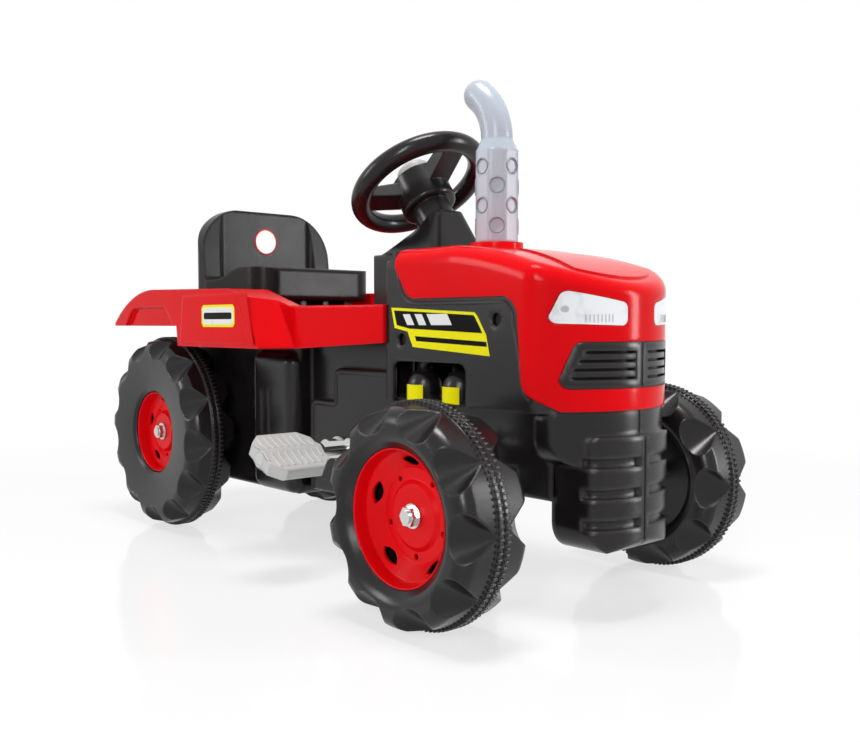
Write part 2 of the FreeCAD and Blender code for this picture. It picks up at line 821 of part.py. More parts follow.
def nose_plan(radius, half, inset):
    turn = mm.nose_groove * 2 - inset / 2
    plan = plan_prism(radius - inset, half - inset, mm.nose_back_y + turn * 2, mm.nose_low, mm.hood_nose_low)
    side_y = plan_centre_y - math.sqrt((radius - inset) ** 2 - (half - inset) ** 2)
    corner = edges_where(plan, lambda p: near(p.x, -half + inset) and near(p.y, side_y))
    return plan.makeFillet(turn, corner)


def nose_block(radius, half, low, top, inset):
    front = mm.nose_front_y - mm.bumper_reach - mm.cut_over
    back = mm.nose_back_y - inset
    curve = mm.nose_groove * 3
    profile = [
        (back, low + inset, 0), (back, top - inset, 0),
        (front + inset, top - inset, mm.bumper_reach), (front + inset, low + inset, curve),
    ]
    face = [
        (V(0, front, low + inset), 0), (V(-half + inset, front, low + inset), curve),
        (V(-half + inset, front, top - inset), mm.bumper_reach), (V(0, front, top - inset), 0),
    ]
    cell = nose_plan(radius, half, inset).common(side_prism(profile, 0, -half))
    return cell.common(prism(face, V(0, mm.nose_back_y - front, 0)))


def nose_radius():
    return mm.front_plan_r + mm.hood_front_y - mm.nose_front_y


def nose_cell(inset):
    top = mm.hood_nose_low - mm.side_gap
    shell = nose_block(nose_radius() - mm.bumper_reach / 2, mm.nose_half, mm.bumper_top - mm.nose_groove * 3,
                       top, inset)
    bumper = nose_block(nose_radius() + mm.bumper_reach / 2, mm.bumper_half, mm.nose_low, mm.bumper_top,
                        inset)
    return shell.fuse(bumper)


def outer_cells():
    engine = block(mm.nose_back_y - mm.body_wall, mm.panel_back_y, mm.engine_low, mm.panel_low + mm.body_wall,
                   mm.engine_half, 0)
    middle = block(mm.panel_back_y - mm.body_wall, mm.mid_back_y + mm.body_round * 2, mm.mid_low, body_top,
                   mm.mid_half, mm.body_round)
    gearbox = block(mm.mid_back_y, mm.gear_back_y, mm.tail_low, mm.fender_low - mm.body_wall,
                    mm.gear_half, mm.gear_round)
    tail = block(mm.mid_back_y, mm.tail_back_y, mm.tail_low, body_top, mm.tail_half, mm.body_round)
    console = block(mm.console_front_y, mm.console_back_y, body_top - mm.body_wall, mm.console_top,
                    mm.console_half, 0)
    return [
        panel_cell(0), nose_cell(0), softened(engine, mm.engine_half, mm.body_wall),
        softened(middle, mm.mid_half, mm.body_wall), softened(gearbox, mm.gear_half, mm.gear_round),
        softened(tail, mm.tail_half, mm.body_wall), softened(console, mm.console_half, mm.body_wall),
    ]


def hollow_cells():
    wall = mm.body_wall
    engine = block(mm.nose_back_y - wall, mm.panel_back_y + wall, mm.engine_low + wall,
                   mm.panel_low + 2 * wall, mm.engine_half - wall, 0)
    middle = block(mm.panel_back_y - 2 * wall, mm.mid_back_y + 2 * mm.body_round + wall, mm.mid_low + wall,
                   body_top - wall, mm.mid_half - mm.relief - wall, 0)
    gear_turn = mm.gear_round - wall
    gearbox = block(mm.mid_back_y + wall, mm.gear_back_y - wall, mm.tail_low + wall, mm.fender_low - 2 * wall,
                    mm.gear_half - wall, gear_turn)
    gearbox = softened(gearbox, mm.gear_half - wall, gear_turn)
    tail = block(mm.mid_back_y + wall, mm.tail_back_y - wall, mm.tail_low + wall, body_top - wall,
                 mm.tail_half - wall, 0)
    console = block(mm.console_front_y + wall, mm.console_back_y - wall, body_top - 2 * wall,
                    mm.console_top - wall, mm.console_half - wall, 0)
    return [panel_cell(wall), nose_cell(mm.nose_wall), engine, middle, gearbox, tail, console]


def canister_recess(grow):
    place_shares = (0.055, 0.635, 0.40)
    length = mm.panel_back_y - mm.hood_nose_back_y
    height = mm.hood_side_low - mm.panel_low
    y_high = mm.panel_back_y - length * place_shares[0] + grow
    y_low = mm.panel_back_y - length * place_shares[1] - grow
    z_high = mm.panel_low + height * place_shares[2] + grow
    depth = mm.panel_half - mm.recess_depth + grow
    low = mm.panel_low - mm.cut_over
    turn = mm.hood_corner_r / 2
    profile = [(y_high, low, 0), (y_high, z_high, turn), (y_low, z_high, turn), (y_low, low, 0)]
    return side_prism(profile, -mm.panel_half - mm.cut_over, -depth)


def canisters():
    recess = canister_recess(0).BoundBox
    x = -mm.panel_half + mm.canister_r - mm.side_gap
    bodies = []
    place_shares = (0.28, 0.77)
    spout_shares = (0.34, 0.12, 1.0, 0.4)
    for share in place_shares:
        y = recess.YMax - recess.YLength * share
        shoulder = mm.canister_high - mm.canister_r
        crown = V(x, y, shoulder)
        jar = rod(mm.canister_r, V(x, y, mm.panel_low), crown)
        dome = Part.makeSphere(mm.canister_r, crown)
        reach = [mm.canister_r * spout_share for spout_share in spout_shares]
        lean = V(0, reach[3], mm.canister_r)
        spout = Part.makeCone(reach[0], reach[1], reach[2], crown + lean * spout_shares[0], lean)
        half = mm.canister_r / 2
        shelf = box(x, x + mm.recess_depth, y - half, y + half, mm.panel_low, shoulder)
        bodies += [jar, dome, spout, shelf]
    return bodies


def screw_boss(y, z, radius, x_from, x_to):
    return rod(radius, V(x_from, y, z), V(x_to, y, z))


def grille_prism(inset, back):
    profile = [
        (V(0, back, mm.grille_low + inset), 0),
        (V(-mm.grille_low_half + inset, back, mm.grille_low + inset), mm.grille_frame - inset / 2),
        (V(-mm.grille_top_half + inset, back, mm.grille_top - inset), mm.grille_frame - inset / 2),
        (V(0, back, mm.grille_top - inset), 0),
    ]
    return prism(profile, V(0, mm.nose_front_y - mm.hood_corner_r - back, 0))


def grille_boss():
    proud = mm.front_plan_r + mm.side_gap
    thick = mm.louvre_depth + mm.body_wall
    span = (front_depth_y, mm.grille_low, mm.grille_top)
    skin = plan_prism(proud, mm.panel_half, *span)
    skin = skin.cut(plan_prism(proud - thick, mm.panel_half - thick, *span))
    return skin.common(grille_prism(mm.side_gap, mm.panel_back_y))


def grille_recess():
    floor = mm.front_plan_r - mm.louvre_depth
    span = (front_depth_y, mm.grille_low, mm.grille_top)
    skin = plan_prism(mm.front_plan_r + mm.cut_over, mm.panel_half, *span)
    skin = skin.cut(plan_prism(floor, mm.panel_half - mm.cut_over, *span))
    field = skin.common(grille_prism(mm.grille_frame, mm.panel_back_y))
    field = field.cut(box(-mm.grille_frame, 0, mm.nose_front_y * 2, 0, mm.grille_low, mm.grille_top))
    bars = []
    height = mm.grille_low + mm.grille_frame + mm.louvre_pitch - mm.louvre_height
    while height < mm.grille_top - mm.grille_frame:
        bars.append(box(-mm.panel_half, 0, mm.nose_front_y * 2, 0, height, height + mm.louvre_height))
        height += mm.louvre_pitch
    inner = mm.front_plan_r - mm.side_gap * 2
    bar_skin = plan_prism(inner, mm.panel_half - mm.cut_over, *span)
    return field.cut([bar.common(bar_skin) for bar in bars])


def nose_grooves():
    height = mm.bumper_top - mm.nose_low
    radius = nose_radius() + mm.bumper_reach / 2
    band = nose_plan(radius + mm.cut_over, mm.bumper_half + mm.cut_over, 0)
    band = band.cut(nose_plan(radius, mm.bumper_half, mm.nose_groove / 2))
    back_share, gap_share = 0.94, 0.10
    grooves = []
    for share in nose_groove_shares:
        low = mm.nose_low + height * share - mm.nose_groove / 2
        window = box(-mm.nose_half, -mm.bumper_half * gap_share, mm.nose_front_y * 2,
                     mm.nose_front_y * back_share, low, low + mm.nose_groove)
        grooves.append(band.common(window))
    return grooves


def stepped_recess():
    low, top = mm.mid_low - mm.cut_over, body_top + mm.cut_over
    front, back = mm.panel_back_y, mm.mid_back_y
    turn = mm.step_round
    profile = [
        (front, mm.upper_step_top, 0), (mm.upper_step_back_y, mm.upper_step_top, turn),
        (mm.upper_step_back_y, mm.step_top, turn / 2), (mm.step_back_y, mm.step_top, turn),
        (mm.step_back_y, low, 0), (back, low, 0), (back, top, 0), (front, top, 0),
    ]
    return side_prism(profile, -mm.mid_half - mm.cut_over, -mm.mid_half + mm.relief)


def gearbox_slots():
    place_shares = (0.50, 0.68)
    height_shares = (0.40, 0.70)
    height = mm.fender_low - mm.tail_low
    slots = []
    for share in place_shares:
        y = mm.mid_back_y + (mm.gear_back_y - mm.mid_back_y) * share
        slots.append(box(-mm.gear_half - mm.cut_over, -mm.gear_half + mm.body_wall / 2, y, y + mm.gear_slot,
                         mm.tail_low + height * height_shares[0], mm.tail_low + height * height_shares[1]))
    return slots


def column_web():
    drop_share = 0.72
    at = wheel_centre - column_up * (link_drop * drop_share)
    half = mm.panel_half - mm.body_wall
    thick = mm.body_wall * 2
    web = Part.makeBox(half, mm.sleeve_r * 6, thick, V(-half, -mm.sleeve_r * 3, -thick / 2))
    web.rotate(V(0, 0, 0), V(1, 0, 0), -mm.column_lean)
    web.translate(at)
    return web


def body_openings():
    room = mm.tie_rod_width / 2 + mm.ball_slot * 2
    deep = max(mm.gear_half, mm.tail_half) + mm.cut_over
    tie = box(-deep, 0, link_y - room, link_y + room, mm.tie_rod_low - mm.cut_over,
              mm.tie_rod_low + mm.tie_rod_plate + mm.cut_over)
    beam = box(-deep, 0, front_y - mm.beam_depth / 2, front_y + mm.beam_depth / 2,
               mm.beam_low, mm.beam_low + mm.beam_height)
    crank = rod(mm.bush_r, V(-deep, mm.crank_y, rear_z), V(0, mm.crank_y, rear_z))
    axle = rod(mm.bush_r, V(-deep, rear_y, rear_z), V(0, rear_y, rear_z))
    shaft = rod(axle_bore, wheel_centre - column_up * link_drop, wheel_centre)
    passage = box(-mm.engine_half + mm.body_wall, 0, mm.nose_back_y + mm.body_wall, mm.panel_back_y,
                  mm.panel_low - mm.body_wall, mm.panel_low + mm.body_wall * 2)
    return [tie, beam, crank, axle, shaft], passage


def chassis_half():
    body = outer_cells()[0].fuse(outer_cells()[1:])
    hollow = hollow_cells()
    cuts, passage = body_openings()
    hollow_shape = hollow[0].fuse(hollow[1:] + [passage])
    places = panel_screw_places()
    boss_end = -mm.panel_half + mm.screw_sink + mm.screw_len
    bosses = [screw_boss(y, z, mm.screw_head_r + mm.body_wall, -mm.panel_half, boss_end) for y, z in places]
    hollow_shape = hollow_shape.cut(bosses + [canister_recess(mm.body_wall), column_web()])
    body = body.cut(hollow_shape)
    sinks = []
    for y, z in places:
        sinks.append(screw_boss(y, z, mm.screw_head_r + mm.side_gap, -mm.panel_half - mm.cut_over,
                                -mm.panel_half + mm.screw_sink))
        sinks.append(screw_boss(y, z, mm.screw_r, -mm.panel_half, boss_end + mm.cut_over))
    body = body.cut(sinks + [canister_recess(0)] + nose_grooves())
    body = body.fuse(canisters() + [grille_boss()])
    body = body.cut([grille_recess(), stepped_recess()] + gearbox_slots() + cuts)
    return body


def make_chassis():
    right = chassis_half()
    piece("chassis_right", right)
    piece("chassis_left", mirrored(right))


def make_tow_bracket():
    back = mm.tail_back_y
    eye_y = back + mm.tow_reach - mm.tow_eye_r
    low = mm.tow_low
    top = low + mm.tow_plate
    tongue = box(-mm.tow_eye_r, mm.tow_eye_r, back, eye_y, low, top)
    eye = rod(mm.tow_eye_r, V(0, eye_y, low), V(0, eye_y, top))
    wide = mm.tow_eye_r * 2
    foot = box(-wide, wide, back, back + mm.web_wall, low - mm.tow_plate, top + mm.tow_plate)
    bore = rod(mm.tow_bore_r, V(0, eye_y, low), V(0, eye_y, top))
    piece("tow_bracket", tongue.fuse([eye, foot]).removeSplitter().cut(bore))


# Hood: a red shell that wraps the nose, with windows for the lights and the grille.
def full_plan(radius, half, back_y, low, top):
    right = plan_prism(radius, half, back_y, low, top)
    return right.fuse(mirrored(right)).removeSplitter()


def top_curve(inset):
    nose = mm.hood_front_y - mm.cut_over
    return [
        V(0, mm.hood_back_y, mm.hood_top_back - inset),
        V(0, (mm.hood_back_y + mm.hood_front_y) / 2, mm.hood_top_mid - inset),
        V(0, nose, mm.hood_top_front - inset),
    ]


def under_top(inset, half, low):
    top = top_curve(inset)
    wire = Part.Wire([
        arc(*top),
        line(top[2], V(0, top[2].y, low)),
        line(V(0, top[2].y, low), V(0, top[0].y, low)),
        line(V(0, top[0].y, low), top[0]),
    ])
    face = Part.Face(wire)
    face.translate(V(-half, 0, 0))
    return face.extrude(V(2 * half, 0, 0))


def hood_form(inset):
    half = mm.hood_half - inset
    low = mm.hood_nose_low
    plan = full_plan(mm.front_plan_r - inset, half, mm.hood_back_y, low, mm.hood_top_back)
    corners = edges_where(plan, lambda p: near(abs(p.x), half) and p.y < mm.hood_nose_back_y)
    upright = [edge for edge in corners if edge.BoundBox.ZLength > mm.hood_corner_r]
    form = plan.makeFillet(mm.hood_corner_r - inset, upright).common(under_top(inset, half, low))
    top_edges = [edge for edge in form.Edges if on_top_edge(edge, inset)]
    return form.makeFillet(mm.hood_round - inset, top_edges)


def on_top_edge(edge, inset):
    box_of = edge.BoundBox
    high = box_of.ZMin > mm.hood_top_front - inset - mm.hood_round
    at_back = near(box_of.YMin, mm.hood_back_y) and near(box_of.YMax, mm.hood_back_y)
    upright = box_of.XLength < mm.side_gap and box_of.YLength < mm.side_gap
    return high and not at_back and not upright


def side_window():
    corner = mm.hood_corner_r
    low = mm.hood_nose_low - mm.cut_over
    profile = [
        (mm.hood_back_y + mm.cut_over, low, 0),
        (mm.hood_back_y + mm.cut_over, mm.hood_top_back - mm.hood_round, 0),
        (mm.hood_back_y - corner, mm.hood_side_low, corner),
        (mm.hood_nose_back_y, mm.hood_side_low, corner),
        (mm.hood_nose_back_y - corner / 3, low + corner, corner),
        (mm.hood_nose_back_y - corner * 2, low, 0),
    ]
    return side_prism(profile, -mm.fender_half, mm.fender_half)


def light_prism(side, inset):
    low_share, top_share, lean_share = 0.10, 0.52, 0.50
    height = mm.light_top - mm.light_low
    front = mm.hood_front_y - mm.hood_corner_r
    back = front_depth_y
    corners = [
        (V(side * (mm.light_in + inset), front, mm.light_low + inset), mm.light_round),
        (V(side * (mm.light_out - inset), front, mm.light_low + height * low_share + inset), mm.light_round),
        (V(side * (mm.light_out - height * lean_share - inset), front,
           mm.light_top + height * top_share - inset), mm.light_round),
        (V(side * (mm.light_in + inset), front, mm.light_top - inset), mm.light_round),
    ]
    return prism(corners, V(0, back - front, 0))


def plateau():
    back_share, front_share = 0.26, 0.70
    rise = mm.plateau_rise
    back = mm.stack_y - mm.stack_collar_r * 2
    front = mm.hood_front_y
    low = mm.hood_top_front - mm.hood_wall
    corners = [
        (V(-mm.hood_half * back_share, back, low), 0), (V(mm.hood_half * back_share, back, low), 0),
        (V(mm.hood_half * front_share, front, low), 0), (V(-mm.hood_half * front_share, front, low), 0),
    ]
    raised = under_top(-rise, mm.hood_half, low)
    field = prism(corners, V(0, 0, mm.hood_top_back))
    high = mm.hood_top_back * 2
    front_edge = full_plan(mm.front_plan_r - mm.hood_round, mm.hood_half, plan_centre_y, low, high)
    rear = box(-mm.hood_half, mm.hood_half, plan_centre_y, 0, low, high)
    return field.common(raised).common(front_edge.fuse(rear))


def hood_shell():
    inner = hood_form(mm.hood_wall)
    below = box(-mm.hood_half + mm.hood_wall, mm.hood_half - mm.hood_wall, mm.hood_back_y - mm.cut_over,
                mm.hood_back_y + mm.cut_over, mm.hood_nose_low, mm.hood_top_back - mm.hood_round)
    return hood_form(0).fuse(plateau()).cut([inner, below])


def make_hood():
    shell = hood_shell()
    collar_low = mm.hood_top_mid - mm.hood_wall
    collar = rod(mm.stack_collar_r, V(0, mm.stack_y, collar_low), V(0, mm.stack_y, mm.stack_low))
    spigot_r = mm.spigot_r + mm.running_gap
    spigot = rod(spigot_r, V(0, mm.stack_y, mm.hood_side_low), V(0, mm.stack_y, mm.stack_low))
    grille = grille_prism(0, front_depth_y)
    cuts = [side_window(), grille, mirrored(grille), spigot]
    for name, side in (("right", -1), ("left", 1)):
        cuts.append(light_prism(side, 0))
        piece(f"headlight_{name}", shell.common(light_prism(side, mm.side_gap)))
    piece("hood", shell.fuse(collar).cut(cuts))


# Exhaust stack: a soft eight-sided lower tube and a round pipe that bends back to a closed end.
def make_exhaust_stack():
    corner = mm.stack_r / math.cos(math.pi / stack_sides)
    ring = []
    for index in range(stack_sides):
        turn = 2 * math.pi * (index + 0.5) / stack_sides
        place = V(corner * math.cos(turn), mm.stack_y + corner * math.sin(turn), mm.stack_low)
        ring.append((place, mm.stack_r / 4))
    tube = prism(ring, V(0, 0, mm.stack_shoulder - mm.stack_low))
    start = V(0, mm.stack_y, mm.stack_shoulder)
    shoulder = Part.makeCone(mm.stack_r, mm.pipe_r, stack_neck - mm.stack_shoulder, start)
    bend = V(0, mm.stack_y, mm.stack_shoulder + mm.pipe_rise)
    centre = bend + V(0, mm.pipe_bend_r, 0)
    turn = math.radians(mm.pipe_turn)
    spoke = [V(0, -mm.pipe_bend_r * math.cos(a), mm.pipe_bend_r * math.sin(a)) for a in (turn / 2, turn)]
    lift = V(0, math.sin(turn), math.cos(turn))
    tip = centre + spoke[1] + lift * mm.pipe_end
    path = Part.Wire([
        line(start, bend), arc(bend, centre + spoke[0], centre + spoke[1]), line(centre + spoke[1], tip)])
    section = Part.Wire(Part.makeCircle(mm.pipe_r, start, V(0, 0, 1)))
    pipe = path.makePipeShell([section], True, False)
    end_cap = Part.makeSphere(mm.pipe_r, tip)
    spigot = rod(mm.spigot_r, V(0, mm.stack_y, mm.stack_low - mm.hood_round), start)
    stack = tube.fuse([shoulder, pipe, end_cap, spigot])
    height_shares = ((0.82, 0.40), (0.61, 0.18))
    dimples = []
    for index in range(stack_sides):
        turn = 2 * math.pi * index / stack_sides
        outward = V(math.cos(turn), math.sin(turn), 0)
        for share in height_shares[index % 2]:
            z = mm.stack_low + (mm.stack_shoulder - mm.stack_low) * share
            foot = V(0, mm.stack_y, z) + outward * (mm.stack_r - mm.dimple_depth)
            dimples.append(rod(mm.dimple_r, foot, foot + outward * mm.dimple_r))
    piece("exhaust_stack", stack.cut(dimples))


# Red rear body: deck and fenders in one shell.
def rear_plan(inset, low, top):
    half = mm.fender_half - inset
    step = mm.shell_round * 2
    notch = mm.fender_tip_y - step
    right = [
        (V(0, mm.panel_back_y + mm.side_gap + inset, low), 0),
        (V(-mm.body_front_half + inset, mm.panel_back_y + mm.side_gap + inset, low), 0),
        (V(-mm.waist_half + inset, mm.waist_y + inset, low), 0),
        (V(-half, mm.waist_y + mm.flare_run + inset, low), 0),
        (V(-half, mm.fender_tip_y - inset, low), mm.shell_round),
        (V(-mm.deck_half - inset, mm.fender_tip_y - inset, low), 0),
        (V(-mm.deck_half - inset + step, notch - inset, low), 0),
        (V(0, notch - inset, low), 0),
    ]
    half_plan = prism(right, V(0, 0, top - low))
    return half_plan.fuse(mirrored(half_plan)).removeSplitter()


def rear_side(inset, drop):
    ramp = fender_top - mm.deck_top
    flat_share = 0.35
    slope_share = 1.6
    tip = [(mm.fender_tip_y - inset * slope_share, mm.fender_arch, 0)]
    if drop:
        tip.append((mm.fender_tip_y - inset * slope_share, mm.fender_arch - drop, 0))
    return [
        (mm.panel_back_y, mm.skirt_low - drop, 0),
        (mm.panel_back_y, mm.deck_top - inset, 0),
        (mm.ramp_y + inset, mm.deck_top - inset, mm.shell_round),
        (mm.ramp_y + ramp / flat_share + inset, fender_top - inset - ramp * flat_share / 2,
         mm.shell_round * 2),
        (mm.fender_flat_end_y - inset, fender_top - inset, mm.fender_round),
    ] + tip + [
        (mm.fender_panel_back_y - inset, mm.fender_arch - drop, 0),
        (mm.fender_panel_back_y - inset - mm.shell_round / 2, mm.fender_low - drop, 0),
        (mm.waist_y, mm.fender_low - drop, 0),
    ]


def fender_arch_cut(side):
    x_out = side * (mm.fender_half + mm.cut_over)
    x_in = side * (mm.fender_half - mm.arch_depth)
    rise = (fender_top - mm.fender_arch) / 2
    front = mm.fender_panel_back_y + mm.shell_round
    back = mm.fender_flat_end_y + mm.shell_round * 4
    low = mm.fender_arch - mm.cut_over
    profile = [(front, low, 0), (front + rise, mm.fender_arch + rise, rise / 2),
               (back - rise, mm.fender_arch + rise, rise), (back, low, 0)]
    return side_prism(profile, x_in, x_out)


def flare_cut(side, grow):
    low = mm.fender_low - mm.cut_over
    reach = mm.fender_half + mm.cut_over - mm.waist_half
    x_in, x_out = side * (mm.waist_half - grow), side * (mm.waist_half + reach)
    front, back = mm.panel_back_y, mm.waist_y + grow * 2
    corners = [
        (V(x_in, front, low), 0), (V(x_in, back, low), 0), (V(x_out, back + mm.flare_run, low), 0),
        (V(x_out, front, low), 0),
    ]
    return prism(corners, V(0, mm.flare_lean, fender_top - low))


def fender_pad(side):
    low_shares = (0.30, 0.06)
    height = mm.fender_rise + mm.fender_arch - mm.fender_low
    low = mm.fender_low + height * low_shares[1]
    top = fender_top - height * low_shares[0] / 2
    front = mm.waist_y + mm.flare_run + mm.shell_round
    back = mm.fender_panel_back_y - mm.shell_round * 2
    profile = [(front, low, 0), (front + mm.shell_round * 2, top, mm.shell_round / 2),
               (back - mm.shell_round, top, mm.shell_round / 2), (back, low, 0)]
    x_in, x_out = mm.fender_half - mm.shell_wall, mm.fender_half + mm.fender_pad
    return side_prism(profile, side * x_in, side * x_out).cut(flare_cut(side, mm.shell_round / 2))


def make_rear_body():
    low = mm.fender_low - mm.cut_over
    outline = side_prism(rear_side(0, 0), -mm.fender_half, mm.fender_half)
    trough = box(-mm.deck_half, mm.deck_half, mm.panel_back_y, mm.fender_tip_y, mm.deck_top, mm.seat_top)
    form = rear_plan(0, low, fender_top).common(outline).cut(trough)
    form = form.cut([flare_cut(side, 0) for side in (-1, 1)])
    wall = mm.shell_wall
    inner = rear_plan(wall, low, fender_top)
    inner = inner.common(side_prism(rear_side(wall, mm.skirt_low), -mm.fender_half, mm.fender_half))
    half = mm.deck_half + wall
    deck = box(-half, half, mm.panel_back_y, mm.fender_tip_y, deck_under, mm.seat_top)
    inner = inner.cut([deck] + [flare_cut(side, wall) for side in (-1, 1)])
    clear = mm.console_half + mm.side_gap
    console = box(-clear, clear, mm.panel_back_y, mm.console_back_y + mm.side_gap, low, fender_top)
    clear = mm.mid_half + mm.side_gap
    spine = box(-clear, clear, mm.panel_back_y, mm.panel_back_y + 2 * wall, low, deck_under)
    arches = [fender_arch_cut(side) for side in (-1, 1)]
    liners = [make(side) for make in (fender_liner, fender_pad) for side in (-1, 1)]
    piece("rear_body", form.cut(inner).fuse(liners).cut(arches + [console, spine]))


def fender_liner(side):
    arch = fender_arch_cut(side).BoundBox
    x_out = side * (mm.fender_half - mm.arch_depth)
    x_in = x_out - side * mm.shell_wall
    rise = (fender_top - mm.fender_arch) / 2
    grow = mm.shell_wall
    profile = [
        (arch.YMin - grow, mm.fender_arch, 0),
        (arch.YMin + rise - grow, mm.fender_arch + rise + grow, rise / 2),
        (arch.YMax - rise + grow, mm.fender_arch + rise + grow, rise),
        (arch.YMax + grow, mm.fender_arch, 0),
    ]
    return side_prism(profile, x_in, side * (mm.fender_half - mm.shell_wall))


# Seat: one black bucket on two ribs.
def seat_plan(inset, low, top):
    front, back = seat_front_half - inset, seat_back_half - inset
    turn = mm.seat_corner_r / 2
    corners = [
        (V(-front, mm.seat_front_y + inset, low), turn), (V(front, mm.seat_front_y + inset, low), turn),
        (V(back, mm.seat_back_y - mm.backrest * 2, low), turn),
        (V(back, mm.seat_back_y - inset, low), turn / 2),
        (V(-back, mm.seat_back_y - inset, low), turn / 2),
        (V(-back, mm.seat_back_y - mm.backrest * 2, low), turn),
    ]
    return prism(corners, V(0, 0, top - low))


def seat_side():
    depth = mm.seat_back_y - mm.seat_front_y
    bolster_share, dip_share, foot_share = 0.34, 0.58, 0.80
    dip = (mm.seat_lip - mm.seat_low) * bolster_share
    return [
        (mm.seat_front_y, mm.seat_low, mm.seat_round), (mm.seat_front_y, mm.seat_lip, mm.seat_round),
        (mm.seat_front_y + depth * bolster_share, mm.seat_lip, mm.seat_corner_r),
        (mm.seat_front_y + depth * dip_share, mm.seat_lip - dip, mm.seat_corner_r),
        (mm.seat_front_y + depth * foot_share, mm.seat_lip - dip, mm.seat_round),
        (mm.seat_back_y - mm.backrest, mm.seat_top, mm.seat_round),
        (mm.seat_back_y, mm.seat_top, mm.seat_round), (mm.seat_back_y, mm.seat_low, mm.seat_round),
    ]


def seat_front_view(low, top):
    half = seat_back_half
    corners = [
        (V(-half, mm.seat_front_y, low), 0), (V(half, mm.seat_front_y, low), 0),
        (V(half, mm.seat_front_y, top), mm.seat_corner_r), (V(-half, mm.seat_front_y, top), mm.seat_corner_r),
    ]
    return prism(corners, V(0, mm.seat_back_y - mm.seat_front_y, 0))


def seat_pocket():
    back_y = mm.seat_back_y - mm.backrest
    half_front, half_back = seat_front_half - mm.seat_wing, seat_back_half - mm.seat_wing * 2
    corners = [
        (V(-half_front, mm.seat_front_y + mm.seat_wing, mm.seat_pan), mm.seat_wing),
        (V(half_front, mm.seat_front_y + mm.seat_wing, mm.seat_pan), mm.seat_wing),
        (V(half_back, back_y, mm.seat_pan), mm.seat_wing), (V(-half_back, back_y, mm.seat_pan), mm.seat_wing),
    ]
    return prism(corners, V(0, 0, mm.seat_top - mm.seat_pan + mm.cut_over))


def make_seat():
    form = seat_plan(0, mm.seat_low, mm.seat_top)
    form = form.common(side_prism(seat_side(), -seat_back_half, seat_back_half))
    form = form.common(seat_front_view(mm.seat_low, mm.seat_top))
    form = form.cut(seat_pocket())
    rib_shares = (-0.6, -0.2, 0.2, 0.6)
    ribs = []
    for share in rib_shares:
        x = seat_front_half * share
        ribs.append(box(x - mm.seat_rib, x + mm.seat_rib, mm.seat_front_y + mm.seat_wing,
                        mm.seat_back_y - mm.backrest, mm.deck_top, mm.seat_low))
    piece("seat", form.fuse(ribs))


# Pedal crank, rear axle and chain
def crank_place(side):
    rise = math.asin(mm.crank_rise / mm.crank_arm)
    reach = V(0, -math.cos(rise), math.sin(rise)) * mm.crank_arm
    axis = V(0, mm.crank_y, rear_z)
    return axis, axis + reach * (1 if side < 0 else -1)


def make_crank_arm(name, side):
    axis, pin = crank_place(side)
    x_in, x_out = side * mm.crank_arm_in, side * (mm.crank_arm_in + mm.crank_arm_thick)
    eyes = [rod(mm.crank_eye_r, V(x_in, p.y, p.z), V(x_out, p.y, p.z)) for p in (axis, pin)]
    along = (pin - axis).normalize()
    waist_share = 0.8
    across = V(0, -along.z, along.y) * (mm.crank_eye_r * waist_share)
    corners = [(V(x_in, p.y, p.z) + shift, 0) for p, shift in
               ((axis, across), (pin, across), (pin, -across), (axis, -across))]
    web = prism(corners, V(x_out - x_in, 0, 0))
    bores = [rod(mm.axle_r, V(x_in, axis.y, axis.z), V(x_out, axis.y, axis.z)),
             rod(mm.spindle_r, V(x_in, pin.y, pin.z), V(x_out, pin.y, pin.z))]
    piece(f"crank_arm_{name}", eyes[0].fuse([eyes[1], web]).cut(bores))


def pedal_end():
    return mm.pedal_in + mm.pedal_width


def make_spindle(name, side):
    pin = crank_place(side)[1]
    head_in = pedal_end() - mm.bush_flange
    stop_in = mm.pedal_in - mm.side_gap - mm.bush_flange
    shaft = rod(mm.spindle_r, V(side * mm.crank_arm_in, pin.y, pin.z), V(side * head_in, pin.y, pin.z))
    rings = []
    for reach, share in ((head_in, spindle_head_share), (stop_in, 2)):
        inner = V(side * reach, pin.y, pin.z)
        rings.append(rod(mm.spindle_r * share, inner, inner + V(side * mm.bush_flange, 0, 0)))
    piece(f"pedal_spindle_{name}", shaft.fuse(rings))


